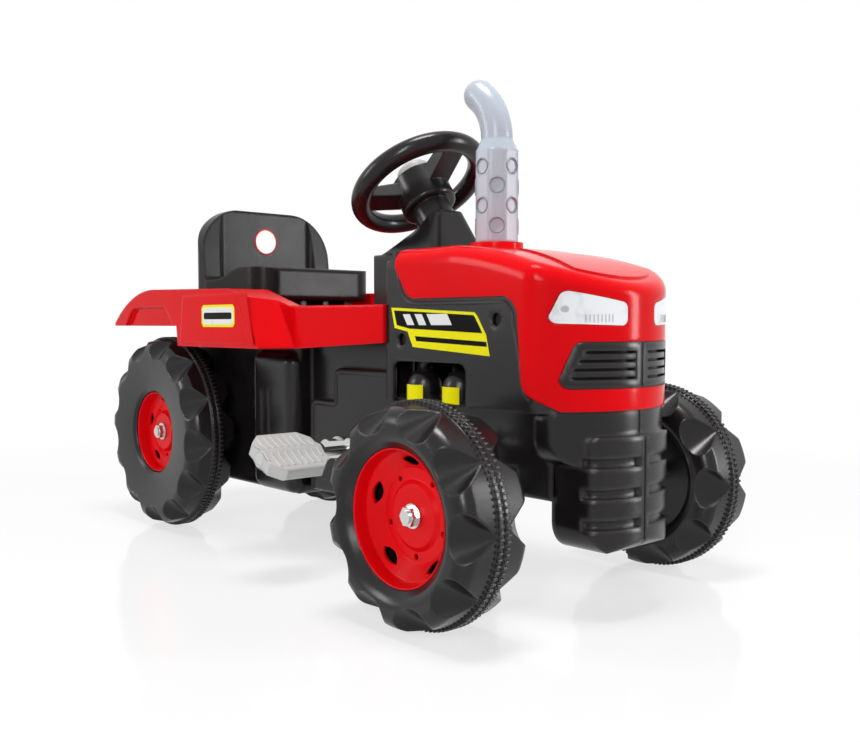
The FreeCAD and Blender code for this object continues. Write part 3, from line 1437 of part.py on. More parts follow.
def make_pedal(name, side):
    pin = crank_place(side)[1]
    x_in, x_out = side * mm.pedal_in, side * pedal_end()
    half_len, half_high, cut = mm.pedal_length / 2, mm.pedal_height / 2, mm.pedal_corner
    profile = [
        (V(x_in, -half_len, 0), 0), (V(x_in, 0, half_high), mm.spindle_r), (V(x_in, half_len, 0), 0),
        (V(x_in, 0, -half_high), mm.spindle_r),
    ]
    slab_shares = (1.0, 0.68)
    edge = [(V(x_in, y * half_len * slab_shares[0], z * half_high * slab_shares[1]), mm.tread_depth)
            for y, z in ((-1, -1), (1, -1), (1, 1), (-1, 1))]
    slab = prism(edge, V(x_out - x_in, 0, 0)).fuse(prism(profile, V(x_out - x_in, 0, 0)))
    outline = [
        (V(x_in, -half_len + cut, -half_high), 0), (V(x_in + side * cut, -half_len, -half_high), 0),
        (V(x_out - side * cut, -half_len, -half_high), 0), (V(x_out, -half_len + cut, -half_high), 0),
        (V(x_out, half_len - cut, -half_high), 0), (V(x_out - side * cut, half_len, -half_high), 0),
        (V(x_in + side * cut, half_len, -half_high), 0), (V(x_in, half_len - cut, -half_high), 0),
    ]
    pad = slab.common(prism(outline, V(0, 0, mm.pedal_height)))
    bore = rod(mm.spindle_r + mm.running_gap, V(x_in, 0, 0), V(x_out, 0, 0))
    head_r = mm.spindle_r * spindle_head_share + mm.side_gap
    head_in = x_out - side * (mm.bush_flange + mm.side_gap)
    pad = pad.cut([bore, rod(head_r, V(head_in, 0, 0), V(x_out, 0, 0))])
    pad.rotate(V(0, 0, 0), V(1, 0, 0), mm.pedal_pitch)
    pad.translate(V(0, pin.y, pin.z))
    piece(f"pedal_{name}", pad)


def pitch_radius(teeth):
    return mm.chain_pitch / 2 / math.sin(math.pi / teeth)


def tip_radius(teeth):
    return pitch_radius(teeth) + mm.chain_height / 3


def make_sprocket(label, teeth, y):
    x = mm.chain_x
    centre = V(x, y, rear_z)
    blank = rod(tip_radius(teeth), centre, centre + V(mm.sprocket_thick, 0, 0))
    boss = rod(mm.bush_flange_r, centre, centre + V(mm.chain_width, 0, 0))
    gap = rod(mm.chain_pitch / 4, V(0, 0, pitch_radius(teeth)), V(mm.sprocket_thick, 0, pitch_radius(teeth)))
    gaps = []
    for copy in round_pattern(gap, int(teeth)):
        copy.translate(centre)
        gaps.append(copy)
    bore = rod(mm.axle_r, centre, centre + V(mm.chain_width, 0, 0))
    piece(label, blank.fuse(boss).cut(gaps + [bore]))


def chain_loop(crank_r, rear_r):
    lean_angle = math.asin((crank_r - rear_r) / (rear_y - mm.crank_y))
    edges = []
    x = mm.chain_x + mm.sprocket_thick / 2 - mm.chain_width / 2
    up = V(0, math.sin(lean_angle), math.cos(lean_angle))
    down = V(0, up.y, -up.z)
    crank, rear = V(x, mm.crank_y, rear_z), V(x, rear_y, rear_z)
    edges.append(arc(crank + down * crank_r, crank - V(0, crank_r, 0), crank + up * crank_r))
    edges.append(line(crank + up * crank_r, rear + up * rear_r))
    edges.append(arc(rear + up * rear_r, rear + V(0, rear_r, 0), rear + down * rear_r))
    edges.append(line(rear + down * rear_r, crank + down * crank_r))
    return Part.Face(Part.Wire(edges)).extrude(V(mm.chain_width, 0, 0))


def make_chain():
    inner = [tip_radius(teeth) + mm.side_gap for teeth in (mm.crank_teeth, mm.rear_teeth)]
    outer = [radius + mm.chain_height for radius in inner]
    piece("drive_chain", chain_loop(*outer).cut(chain_loop(*inner)))


def make_rear_axle():
    nut_stack = mm.side_gap + mm.washer_height + mm.nut_height + mm.cut_over
    reach = mm.rear_track / 2 + mm.rear_boss_at + nut_stack
    shaft = rod(mm.axle_r, V(-reach, rear_y, rear_z), V(reach, rear_y, rear_z))
    collars = []
    inner = mm.tail_half + mm.bush_flange + mm.side_gap
    outer = mm.rear_track / 2 - hub_end("rear") - mm.side_gap
    for side in (-1, 1):
        collars.append(rod(mm.collar_r, V(side * inner, rear_y, rear_z), V(side * outer, rear_y, rear_z)))
    piece("rear_axle", shaft.fuse(collars))


def make_crank_axle():
    reach = "(crank_arm_in + crank_arm_thick)"
    place = (f"-{reach}", "crank_y", "rear_wheel_r")
    named("crank_axle", rod_across("crank_rod", "axle_r", f"2*{reach}", place))


def bush_profile(wall_side, sign):
    inner = f"{sign}({wall_side} - body_wall)"
    outer = f"{sign}{wall_side}"
    rim = f"{sign}({wall_side} + bush_flange)"
    return [
        (inner, "axle_r + running_gap"), (rim, "axle_r + running_gap"), (rim, "bush_flange_r"),
        (outer, "bush_flange_r"), (outer, "bush_r"), (inner, "bush_r"),
    ]


def make_bushes():
    for name, sign in (("right", "-"), ("left", "")):
        axle_profile = bush_profile("tail_half", sign)
        turned_body(f"axle_bush_{name}", axle_profile, ("0", "rear_axle_y", "rear_wheel_r"))
        crank_profile = bush_profile("mid_half", sign)
        turned_body(f"crank_bush_{name}", crank_profile, ("0", "crank_y", "rear_wheel_r"))


make_wheels()
for end_name in ("front", "rear"):
    make_axle_nut(end_name, "right", "-")
    make_axle_nut(end_name, "left", "")
make_front_axle()
make_tie_rod()
for side_name, side_sign in (("right", -1), ("left", 1)):
    make_knuckle(side_name, side_sign)
    make_crank_arm(side_name, side_sign)
    make_spindle(side_name, side_sign)
    make_pedal(side_name, side_sign)
make_steering_column()
make_steering_wheel()
make_horn_button()
make_column_cover()
make_chassis()
make_panel_screws()
make_tow_bracket()
make_hood()
make_exhaust_stack()
make_rear_body()
make_seat()
make_sprocket("crank_sprocket", mm.crank_teeth, mm.crank_y)
make_sprocket("rear_sprocket", mm.rear_teeth, rear_y)
make_chain()
make_rear_axle()
make_crank_axle()
make_bushes()
doc.recompute()

for feature in doc.Objects:
    failed = {"Invalid", "Error"} & set(feature.State)
    if failed:
        raise RuntimeError(f"{feature.Label}: {feature.State}")
for feature in pieces:
    if feature.Shape.isNull() or not feature.Shape.isValid():
        raise RuntimeError(f"{feature.Label}: bad shape")
os.makedirs("parts", exist_ok=True)
for feature in pieces:
    feature.Shape.exportStep(f"parts/{feature.Label}.step")
    print(feature.Label, len(feature.Shape.Solids), round(feature.Shape.Volume))
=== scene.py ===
import bpy
import bmesh
import json
import math
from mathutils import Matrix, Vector


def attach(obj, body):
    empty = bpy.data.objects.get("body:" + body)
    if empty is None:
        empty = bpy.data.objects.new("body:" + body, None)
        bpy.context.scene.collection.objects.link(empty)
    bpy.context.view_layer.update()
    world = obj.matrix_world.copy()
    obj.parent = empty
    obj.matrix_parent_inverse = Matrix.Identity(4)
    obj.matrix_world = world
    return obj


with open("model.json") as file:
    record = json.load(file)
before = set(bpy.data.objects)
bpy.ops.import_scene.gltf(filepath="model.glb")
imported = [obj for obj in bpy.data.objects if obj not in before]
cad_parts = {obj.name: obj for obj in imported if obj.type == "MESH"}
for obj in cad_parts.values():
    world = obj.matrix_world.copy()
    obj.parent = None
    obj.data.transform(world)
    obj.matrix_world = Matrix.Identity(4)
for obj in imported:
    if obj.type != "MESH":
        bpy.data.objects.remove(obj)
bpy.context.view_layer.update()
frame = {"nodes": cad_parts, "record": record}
nodes = frame["nodes"]
mm = 0.001
sides = dict(right=-1, left=1)
print("frame loaded:", len(nodes), "nodes")


def hexColour(code):
    parts = [int(code[i:i + 2], 16) / 255 for i in (1, 3, 5)]
    linear = [c / 12.92 if c <= 0.04045 else ((c + 0.055) / 1.055) ** 2.4 for c in parts]
    return (*linear, 1.0)


def addNode(tree, kind, inputs=None, links=None, **settings):
    node = tree.nodes.new(kind)
    for key, value in settings.items():
        setattr(node, key, value)
    for key, value in (inputs or {}).items():
        node.inputs[key].default_value = value
    for key, source in (links or {}).items():
        tree.links.new(source, node.inputs[key])
    return node


def newMaterial(name):
    material = bpy.data.materials.new(name)
    material.use_nodes = True
    material.node_tree.nodes.clear()
    return material, material.node_tree


def finishMaterial(tree, shader):
    addNode(tree, "ShaderNodeOutputMaterial", links={"Surface": shader.outputs[0]})


# Moulded plastics. The grain is the texture of the tool, the mottle is how evenly the skin froze,
# and the paler colour on rounded edges is a painted highlight. Grain under about 1 mm is drawn
# coarser, so that it shows.
mouldedLook = dict(
    # blow moulded in a lightly blasted tool: deep black with soft, clear highlights
    satinBlackHdpe=dict(
        colour="#151314", shade="#1a1718", edgeHighlight="#2f2b2c", roughness=(0.17, 0.26), grainMm=1.1,
        bumpMm=0.04, mottleMm=38, edgeMm=7.0, shine=0.30),
    # blow moulded too, in a coarser tool, so the sheen on the tread is broader
    blowMouldedTyreHdpe=dict(
        colour="#141213", shade="#1a1718", edgeHighlight="#2f2b2c", roughness=(0.19, 0.29), grainMm=1.4,
        bumpMm=0.06, mottleMm=46, edgeMm=3.0, shine=0.30),
    # the seat's skin, darker and duller than the body
    seatBlackHdpe=dict(
        colour="#110f10", shade="#181516", edgeHighlight="#2c292a", roughness=(0.22, 0.32), grainMm=1.2,
        bumpMm=0.05, mottleMm=30, edgeMm=4.0, shine=0.13),
    # injected in a polished tool, and handled: the steering wheel is the smoothest black
    wheelBlackPolypropylene=dict(
        colour="#1a1718", shade="#211e1f", edgeHighlight="#302d2e", roughness=(0.18, 0.28), grainMm=1.0,
        bumpMm=0.02, mottleMm=26, edgeMm=1.8, shine=0.24),
    # blow moulded in a polished tool: a full red with small, sharp highlights
    glossRedHdpe=dict(
        colour="#de0610", shade="#d2050e", edgeHighlight="#e2121a", roughness=(0.11, 0.17), grainMm=2.4,
        bumpMm=0.01, mottleMm=60, edgeMm=4.0, shine=0.07),
    # injected dishes, a little softer in gloss than the hood
    rimRedPolypropylene=dict(
        colour="#db0711", shade="#cb060f", edgeHighlight="#e0141c", roughness=(0.20, 0.30), grainMm=1.6,
        bumpMm=0.02, mottleMm=34, edgeMm=1.4, shine=0.10),
    # grey with a blue cast, blow moulded, so its edges are round
    silverGreyHdpe=dict(
        colour="#b0b8c3", shade="#a6aeb9", edgeHighlight="#bac1ca", roughness=(0.20, 0.30), grainMm=1.2,
        bumpMm=0.02, mottleMm=24, edgeMm=5.0, shine=0.34),
    # injected and scuffed by shoes: pale and almost dull
    paleGreyPolypropylene=dict(
        colour="#bfc0bf", shade="#b0b1b0", edgeHighlight="#cbccca", roughness=(0.34, 0.44), grainMm=1.0,
        bumpMm=0.03, mottleMm=16, edgeMm=1.2, shine=0.40),
    # undyed bushes, milky and waxy
    naturalNylon=dict(
        colour="#dcd8cc", shade="#cfcabd", edgeHighlight="#e2ded4", roughness=(0.40, 0.50), grainMm=1.0,
        bumpMm=0.02, mottleMm=8, edgeMm=0.6, shine=0.45),
    # cut sheet, laid on flat: even colour and a thin gloss
    yellowVinyl=dict(
        colour="#f2ea08", shade="#e9df06", edgeHighlight="#f2ea2c", roughness=(0.24, 0.32), grainMm=1.6,
        bumpMm=0.01, mottleMm=20, edgeMm=0.3, shine=0.12),
    blackVinyl=dict(
        colour="#060606", shade="#0a0a0a", edgeHighlight="#141414", roughness=(0.20, 0.30), grainMm=1.6,
        bumpMm=0.01, mottleMm=20, edgeMm=0.3, shine=0.06),
    whiteVinyl=dict(
        colour="#e6e6e4", shade="#dcdcda", edgeHighlight="#ececea", roughness=(0.24, 0.32), grainMm=1.6,
        bumpMm=0.01, mottleMm=20, edgeMm=0.3, shine=0.42),
)
plasticSkin = dict(ior=1.5, mottleDetail=3.0, grainDetail=4.0, grainRoughness=0.55,
                   edgeSamples=6, highlightStart=0.995, highlightFull=0.86)


def mouldedPlastic(name):
    look = mouldedLook[name]
    material, tree = newMaterial(name)
    place = addNode(tree, "ShaderNodeTexCoord").outputs["Object"]
    mottle = addNode(tree, "ShaderNodeTexNoise",
                     {"Scale": 1 / (look["mottleMm"] * mm), "Detail": plasticSkin["mottleDetail"]},
                     {"Vector": place}).outputs[0]
    grain = addNode(tree, "ShaderNodeTexNoise",
                    {"Scale": 1 / (look["grainMm"] * mm), "Detail": plasticSkin["grainDetail"],
                     "Roughness": plasticSkin["grainRoughness"]}, {"Vector": place}).outputs[0]
    edge = addNode(tree, "ShaderNodeBevel", {"Radius": look["edgeMm"] * mm},
                   samples=plasticSkin["edgeSamples"]).outputs[0]
    flat = addNode(tree, "ShaderNodeNewGeometry").outputs["True Normal"]
    facing = addNode(tree, "ShaderNodeVectorMath", None, {0: edge, 1: flat},
                     operation="DOT_PRODUCT").outputs["Value"]
    # Painted highlight: where the bevelled normal turns from the true normal, at rounded edges, the
    # colour goes to the paler edge colour.
    paintedEdgeHighlight = addNode(tree, "ShaderNodeMapRange",
                       {"From Min": plasticSkin["highlightStart"], "From Max": plasticSkin["highlightFull"]},
                       {"Value": facing}).outputs[0]
    colour = addNode(tree, "ShaderNodeMix",
                     {6: hexColour(look["colour"]), 7: hexColour(look["shade"])}, {0: mottle},
                     data_type="RGBA").outputs[2]
    colour = addNode(tree, "ShaderNodeMix", {7: hexColour(look["edgeHighlight"])},
                     {0: paintedEdgeHighlight, 6: colour}, data_type="RGBA").outputs[2]
    gloss = addNode(tree, "ShaderNodeMapRange",
                    {"To Min": look["roughness"][0], "To Max": look["roughness"][1]},
                    {"Value": mottle}).outputs[0]
    bump = addNode(tree, "ShaderNodeBump", {"Strength": 1.0, "Distance": look["bumpMm"] * mm},
                   {"Height": grain, "Normal": edge}).outputs[0]
    shader = addNode(tree, "ShaderNodeBsdfPrincipled",
                     {"IOR": plasticSkin["ior"], "Specular IOR Level": look["shine"]},
                     {"Base Color": colour, "Roughness": gloss, "Normal": bump})
    finishMaterial(tree, shader)
    return material


# Steel. Zinc leaves a bright skin with faint crystals, oil darkens the chain, and the panel screws
# are drawn near black as painted shade of the recesses they sit in, so that they hardly show.
steelLook = dict(
    brightZincSteel=dict(colour="#d5d6d4", shade="#b9bab8", roughness=(0.16, 0.30), drawnMm=1.2,
                         bumpMm=0.02),
    oiledSteel=dict(colour="#6d6b67", shade="#4a4845", roughness=(0.32, 0.46), drawnMm=1.6,
                    bumpMm=0.03),
    recessShadeSteel=dict(colour="#202022", shade="#161617", roughness=(0.30, 0.42), drawnMm=1.4,
                      bumpMm=0.02),
)
drawnDetail = 3.0


def platedSteel(name):
    look = steelLook[name]
    material, tree = newMaterial(name)
    place = addNode(tree, "ShaderNodeTexCoord").outputs["Object"]
    drawn = addNode(tree, "ShaderNodeTexNoise",
                    {"Scale": 1 / (look["drawnMm"] * mm), "Detail": drawnDetail},
                    {"Vector": place}).outputs[0]
    colour = addNode(tree, "ShaderNodeMix",
                     {6: hexColour(look["colour"]), 7: hexColour(look["shade"])}, {0: drawn},
                     data_type="RGBA").outputs[2]
    gloss = addNode(tree, "ShaderNodeMapRange",
                    {"To Min": look["roughness"][0], "To Max": look["roughness"][1]},
                    {"Value": drawn}).outputs[0]
    bump = addNode(tree, "ShaderNodeBump", {"Distance": look["bumpMm"] * mm},
                   {"Height": drawn}).outputs[0]
    shader = addNode(tree, "ShaderNodeBsdfPrincipled", {"Metallic": 1.0},
                     {"Base Color": colour, "Roughness": gloss, "Normal": bump})
    finishMaterial(tree, shader)
    return material


# Lens: pearly moulded polycarbonate, with small facets on its back that scatter the light inside.
lensLook = dict(colour="#e9ebee", deep="#c3c6ce", facetMm=5.0, cloudMm=26.0, cloudDetail=2.0,
                cloudRange=(0.46, 0.66), ripple=0.25, rippleMm=0.15, ior=1.58, roughness=0.12,
                coat=1.0, coatRoughness=0.03)


def facetedPolycarbonate():
    look = lensLook
    material, tree = newMaterial("facetedPolycarbonate")
    place = addNode(tree, "ShaderNodeTexCoord").outputs["Object"]
    facets = addNode(tree, "ShaderNodeTexVoronoi", {"Scale": 1 / (look["facetMm"] * mm)},
                     {"Vector": place}).outputs[0]
    cloud = addNode(tree, "ShaderNodeTexNoise",
                    {"Scale": 1 / (look["cloudMm"] * mm), "Detail": look["cloudDetail"]},
                    {"Vector": place}).outputs[0]
    inside = addNode(tree, "ShaderNodeMapRange",
                     {"From Min": look["cloudRange"][0], "From Max": look["cloudRange"][1]},
                     {"Value": cloud}, interpolation_type="SMOOTHSTEP").outputs[0]
    depth = addNode(tree, "ShaderNodeMath", None, {0: facets, 1: inside},
                    operation="MULTIPLY").outputs[0]
    colour = addNode(tree, "ShaderNodeMix",
                     {6: hexColour(look["colour"]), 7: hexColour(look["deep"])}, {0: depth},
                     data_type="RGBA").outputs[2]
    bump = addNode(tree, "ShaderNodeBump",
                   {"Strength": look["ripple"], "Distance": look["rippleMm"] * mm},
                   {"Height": facets}).outputs[0]
    shader = addNode(tree, "ShaderNodeBsdfPrincipled",
                     {"IOR": look["ior"], "Roughness": look["roughness"],
                      "Coat Weight": look["coat"], "Coat Roughness": look["coatRoughness"]},
                     {"Base Color": colour, "Normal": bump})
    finishMaterial(tree, shader)
    return material


materials = {name: mouldedPlastic(name) for name in mouldedLook}
materials.update({name: platedSteel(name) for name in steelLook})
materials["facetedPolycarbonate"] = facetedPolycarbonate()
print("materials made:", len(materials))

# Finish of each material slot, and of the few nodes that differ from their slot.
slotFinish = dict(
    black_body="satinBlackHdpe", red_body="glossRedHdpe", seat_black="seatBlackHdpe",
    steering_black="wheelBlackPolypropylene", silver_plastic="silverGreyHdpe",
    grey_plastic="paleGreyPolypropylene", clear_lens="facetedPolycarbonate",
    tyre_black="blowMouldedTyreHdpe", rim_red="rimRedPolypropylene",
    zinc_steel="brightZincSteel", chain_steel="oiledSteel", bush_plastic="naturalNylon",
)
# The panel screws take the near-black steel, which is painted shade of their recesses.
nodeFinish = dict(panel_screws="recessShadeSteel", crank_arm_right="brightZincSteel",
                  crank_arm_left="brightZincSteel")


def dressNodes():
    for subpart in frame["record"]["subparts"]:
        node = nodes[subpart["node"]]
        finish = nodeFinish.get(subpart["node"], slotFinish[subpart["material_slot"]])
        node.data.materials.clear()
        node.data.materials.append(materials[finish])


dressNodes()
print("frame dressed")


# Pieces are drawn in millimetres in the frame of the part, each on the body that carries it.
def meshPiece(name, points, faces, body, finish, slot, roundMm=0.0, segments=2):
    mesh = bpy.data.meshes.new(name)
    mesh.from_pydata([tuple(c * mm for c in point) for point in points], [], faces)
    work = bmesh.new()
    work.from_mesh(mesh)
    bmesh.ops.recalc_face_normals(work, faces=work.faces[:])
    work.to_mesh(mesh)
    work.free()
    mesh.materials.append(materials[finish])
    piece = bpy.data.objects.new(name, mesh)
    bpy.context.collection.objects.link(piece)
    if roundMm:
        softEdge = piece.modifiers.new("softEdge", "BEVEL")
        softEdge.width = roundMm * mm
        softEdge.segments = segments
        softEdge.limit_method = "ANGLE"
    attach(piece, body)


# Skin over rings of points. A loop of rings meets itself, any other row gets a face at each end.
def ringMesh(rings, loop=False):
    count, total = len(rings[0]), len(rings)
    points = [point for ring in rings for point in ring]
    faces = []
    for r in range(total if loop else total - 1):
        here, after = r * count, (r + 1) % total * count
        faces += [(here + i, here + (i + 1) % count, after + (i + 1) % count, after + i)
                  for i in range(count)]
    if not loop:
        faces += [tuple(range(count))[::-1], tuple(range((total - 1) * count, total * count))]
    return points, faces


def joinMeshes(meshes):
    points, faces = [], []
    for more, quads in meshes:
        faces += [tuple(len(points) + k for k in quad) for quad in quads]
        points += more
    return points, faces


def circle(steps):
    return [(math.cos(math.tau * k / steps), math.sin(math.tau * k / steps)) for k in range(steps)]


# Where a line from the front, along y, first meets a node, and the normal there.
def frontHit(node, x, z, start=-600.0):
    ray = Vector((x * mm, start * mm, z * mm)), Vector((0, 1, 0))
    found, spot, normal, _ = nodes[node].ray_cast(*ray)
    return (spot / mm, normal) if found else (None, None)


# Wheels at rest, as on the left. The right ones are their mirror image.
wheelPlaces = dict(
    front=dict(centre=(174.0, -286.5, 100.0), radius=100.0,
               bodies=dict(right="front_wheel_right", left="front_wheel_left")),
    rear=dict(centre=(128.0, 272.5, 124.0), radius=124.0,
              bodies=dict(right="rear_wheel_right", left="rear_drive")),
)

# Seam ribs: two rows of little cleats beside the parting line of every tyre, like a zip.
seamRibs = dict(count=dict(front=112, rear=136), inner=1.7, outer=6.8, rise=1.3, root=1.2,
                footShare=0.50, topShare=0.38, stagger=0.5)


def seamRib(place, side, row, turn, pitch):
    look = seamRibs
    x, y, z = place["centre"]
    corners = ((look["inner"], -1), (look["outer"], -1), (look["outer"], 1), (look["inner"], 1))
    rings = []
    for radius, share in ((place["radius"] - look["root"], look["footShare"]),
                          (place["radius"] + look["rise"], look["topShare"])):
        spots = [(across, turn + swing * share * pitch / 2) for across, swing in corners]
        rings.append([(side * x + row * across, y + radius * math.sin(angle),
                       z + radius * math.cos(angle)) for across, angle in spots])
    return ringMesh(rings)


def makeSeamRibs():
    look = seamRibs
    for end, place in wheelPlaces.items():
        count = look["count"][end]
        pitch = math.tau / count
        for sideName, side in sides.items():
            ribs = []
            for i in range(count):
                ribs.append(seamRib(place, side, -1, i * pitch, pitch))
                ribs.append(seamRib(place, side, 1, (i + look["stagger"]) * pitch, pitch))
            meshPiece(f"{end}SeamRibs_{sideName}", *joinMeshes(ribs), place["bodies"][sideName],
                      "blowMouldedTyreHdpe", "tyre_black")


makeSeamRibs()

# Pedal treads: upright ribs over the ridge of the pad, on both faces, so that it turns either way
# up. The first and the last are shorter, because the pad narrows there.
pedalTreads = dict(pins=dict(right=(-69.7, 129.0), left=(15.7, 119.0)), tilt=28.0, inside=136.0,
                   pitch=8.2, count=9, width=3.4, rise=0.8, sink=1.5, halfLength=26.0,
                   endInset=11.0, gapShare=0.16, steps=5, ridge=10.5, ridgeHalf=33.0, slab=7.14,
                   roundMm=0.7)


def padSurface(y):
    look = pedalTreads
    return max(look["ridge"] * (1 - abs(y) / look["ridgeHalf"]), look["slab"])


def treadOutline(reach, half):
    look = pedalTreads
    gap = reach * look["gapShare"]
    ys = [half * (gap + (reach - gap) * k / look["steps"]) for k in range(look["steps"] + 1)]
    foot = [(y, padSurface(y) - look["sink"]) for y in ys]
    return foot + [(y, padSurface(y) + look["rise"]) for y in reversed(ys)]


def makePedalTreads():
    look = pedalTreads
    tilt = math.radians(look["tilt"])
    for sideName, side in sides.items():
        pinY, pinZ = look["pins"][sideName]

        def onPad(x, y, z):
            return (side * x, pinY + y * math.cos(tilt) - z * math.sin(tilt),
                    pinZ + y * math.sin(tilt) + z * math.cos(tilt))

        ribs = []
        for i in range(look["count"]):
            x = look["inside"] + look["pitch"] * i
            inset = look["endInset"] if i in (0, look["count"] - 1) else 0.0
            for face in (-1, 1):
                for half in (-1, 1):
                    outline = treadOutline(look["halfLength"] - inset, half)
                    ribs.append(ringMesh([[onPad(wall, y, face * z) for y, z in outline]
                                          for wall in (x, x + look["width"])]))
        meshPiece(f"pedalTreads_{sideName}", *joinMeshes(ribs), f"pedal_{sideName}_pad",
                  "paleGreyPolypropylene", "grey_plastic", roundMm=look["roundMm"])


makePedalTreads()
print("ribs and treads made")

# Vinyl: flat layers on an upright face, each a little prouder than the one under it.
vinylCut = dict(sink=0.3, plate=0.25, field=0.40, mark=0.52, roundMm=0.08)


def vinylLayer(name, outline, side, faceX, proud, finish, slot):
    rings = [[(side * x, y, z) for y, z in outline]
             for x in (faceX - vinylCut["sink"], faceX + proud)]
    meshPiece(name, *ringMesh(rings), "frame", finish, slot, roundMm=vinylCut["roundMm"],
              segments=1)


# Vinyl on the side panels: a yellow plate with a black field, a black band and pale slashes.
panelVinyl = dict(
    panelX=93.7,
    plate=((-147.4, 283.6), (-269.6, 277.8), (-273.3, 274.2), (-284.9, 256.6), (-289.6, 236.9),
           (-181.0, 243.6), (-173.3, 259.0), (-152.8, 262.6)),
    field=((-151.8, 280.6), (-268.2, 275.1), (-270.6, 272.6), (-280.2, 258.2), (-176.6, 262.0),
           (-156.4, 265.6)),
    band=((-184.2, 254.6), (-285.2, 250.2), (-286.2, 245.6), (-186.6, 249.6)),
    slashes=((-166, 11), (-184, 11), (-202, 30)), slashLow=265.6, slashHigh=276.6, slant=7.0,
)


def makePanelVinyl():
    look = panelVinyl
    layers = [("Plate", look["plate"], "yellowVinyl", vinylCut["plate"]),
              ("Field", look["field"], "blackVinyl", vinylCut["field"]),
              ("Band", look["band"], "blackVinyl", vinylCut["field"])]
    for i, (y, width) in enumerate(look["slashes"]):
        foot = y - look["slant"]
        slash = ((foot, look["slashLow"]), (foot - width, look["slashLow"]),
                 (y - width, look["slashHigh"]), (y, look["slashHigh"]))
        layers.append((f"Slash{i}", slash, "whiteVinyl", vinylCut["mark"]))
    for sideName, side in sides.items():
        for label, outline, finish, proud in layers:
            vinylLayer(f"panel{label}_{sideName}", outline, side, look["panelX"], proud, finish,
                       "black_body")


makePanelVinyl()

# Fender badge: a small yellow plate with a pale field and one dark bar.
fenderBadge = dict(padX=160.5, low=263.0, high=289.0, front=52.0, back=128.0, cut=4.0, rim=3.0,
                   fieldCut=3.0, barShare=0.30, barCut=1.5)


def badgeOutline(front, back, low, high, cut):
    return [(front + cut, low), (back - cut, low), (back, low + cut), (back, high - cut),
            (back - cut, high), (front + cut, high), (front, high - cut), (front, low + cut)]


def makeFenderBadge():
    look = fenderBadge
    front, back, low, high, rim = (look[key] for key in ("front", "back", "low", "high", "rim"))
    middle, halfBar = (low + high) / 2, (high - low) * look["barShare"] / 2
    plate = badgeOutline(front, back, low, high, look["cut"])
    field = badgeOutline(front + rim, back - rim, low + rim, high - rim, look["fieldCut"])
    bar = badgeOutline(front + 2 * rim, back - 2 * rim, middle - halfBar, middle + halfBar,
                       look["barCut"])
    layers = (("Plate", plate, "yellowVinyl", vinylCut["plate"]),
              ("Field", field, "whiteVinyl", vinylCut["field"]),
              ("Bar", bar, "blackVinyl", vinylCut["mark"]))
    for sideName, side in sides.items():
        for label, outline, finish, proud in layers:
            vinylLayer(f"fender{label}_{sideName}", outline, side, look["padX"], proud, finish,
                       "red_body")


makeFenderBadge()

# Canister labels: a plain yellow band wrapped round the two bottles in each side panel.
canisterLabels = dict(places=(-179.4, -232.3), axisX=76.0, radius=18.0, low=189.0, high=205.5,
                      wrap=84.0, steps=18, sink=0.4, proud=0.35)


def makeCanisterLabels():
    look = canisterLabels
    wrap = math.radians(look["wrap"])
    turns = [-wrap / 2 + wrap * k / look["steps"] for k in range(look["steps"] + 1)]
    inner, outer = look["radius"] - look["sink"], look["radius"] + look["proud"]
    section = ((inner, look["low"]), (outer, look["low"]), (outer, look["high"]),
               (inner, look["high"]))
    for sideName, side in sides.items():
        for i, y in enumerate(look["places"]):
            rings = [[(side * (look["axisX"] + radius * math.cos(turn)),
                       y + radius * math.sin(turn), z) for radius, z in section] for turn in turns]
            meshPiece(f"canisterLabel{i}_{sideName}", *ringMesh(rings), "frame", "yellowVinyl",
                      "black_body")


makeCanisterLabels()

# Seat badge: a plain round disc with a red rim, set on the front of the backrest.
seatBadge = dict(place=(0.0, 380.0), ahead=-200.0, radius=18.0, rim=2.0, proud=0.5, sink=1.0,
                 lip=0.15, lipShare=0.985, steps=56)


def makeSeatBadge():
    look = seatBadge
    spot, normal = frontHit("seat", *look["place"], look["ahead"])
    if spot is None:
        print("no backrest behind the badge")
        return
    turn = Vector((0, 0, 1)).rotation_difference(normal)
    discs = (("Rim", look["radius"], look["proud"], "glossRedHdpe"),
             ("Face", look["radius"] - look["rim"], look["proud"] + look["lip"], "whiteVinyl"))
    for label, radius, proud, finish in discs:
        rings = []
        for height, reach in ((-look["sink"], radius), (proud - look["lip"], radius),
                              (proud, radius * look["lipShare"])):
            rings.append([tuple(spot + turn @ Vector((reach * c, reach * s, height)))
                          for c, s in circle(look["steps"])])
        meshPiece(f"seatBadge{label}", *ringMesh(rings), "frame", finish, "seat_black")


makeSeatBadge()
print("vinyl, labels and badges made")

# Parting seam: the dark line where the two black halves meet on the nose and the grille. It breaks
# where the surface steps, and stays on what lies ahead of noseBack.
partingSeam = dict(beside=-0.3, low=66.0, high=250.0, step=2.0, halfWidth=0.55, proud=0.12,
                   sink=1.0, jump=2.5, noseBack=-330.0, fewest=4)


def makePartingSeam():
    look = partingSeam
    runs, run = [], []
    z = look["low"]
    while z <= look["high"]:
        spot, _ = frontHit("chassis_right", look["beside"], z)
        y = 0.0 if spot is None else spot.y
        if y > look["noseBack"] or (run and abs(run[-1][0] - y) > look["jump"]):
            runs.append(run)
            run = []
        if y < look["noseBack"]:
            run.append((y, z))
        z += look["step"]
    runs.append(run)
    half, sink, proud = look["halfWidth"], look["sink"], look["proud"]
    for i, run in enumerate(run for run in runs if len(run) >= look["fewest"]):
        rings = [[(-half, y + sink, z), (-half, y - proud, z), (half, y - proud, z),
                  (half, y + sink, z)] for y, z in run]
        meshPiece(f"partingSeam{i}", *ringMesh(rings), "frame", "blackVinyl", "black_body")


makePartingSeam()

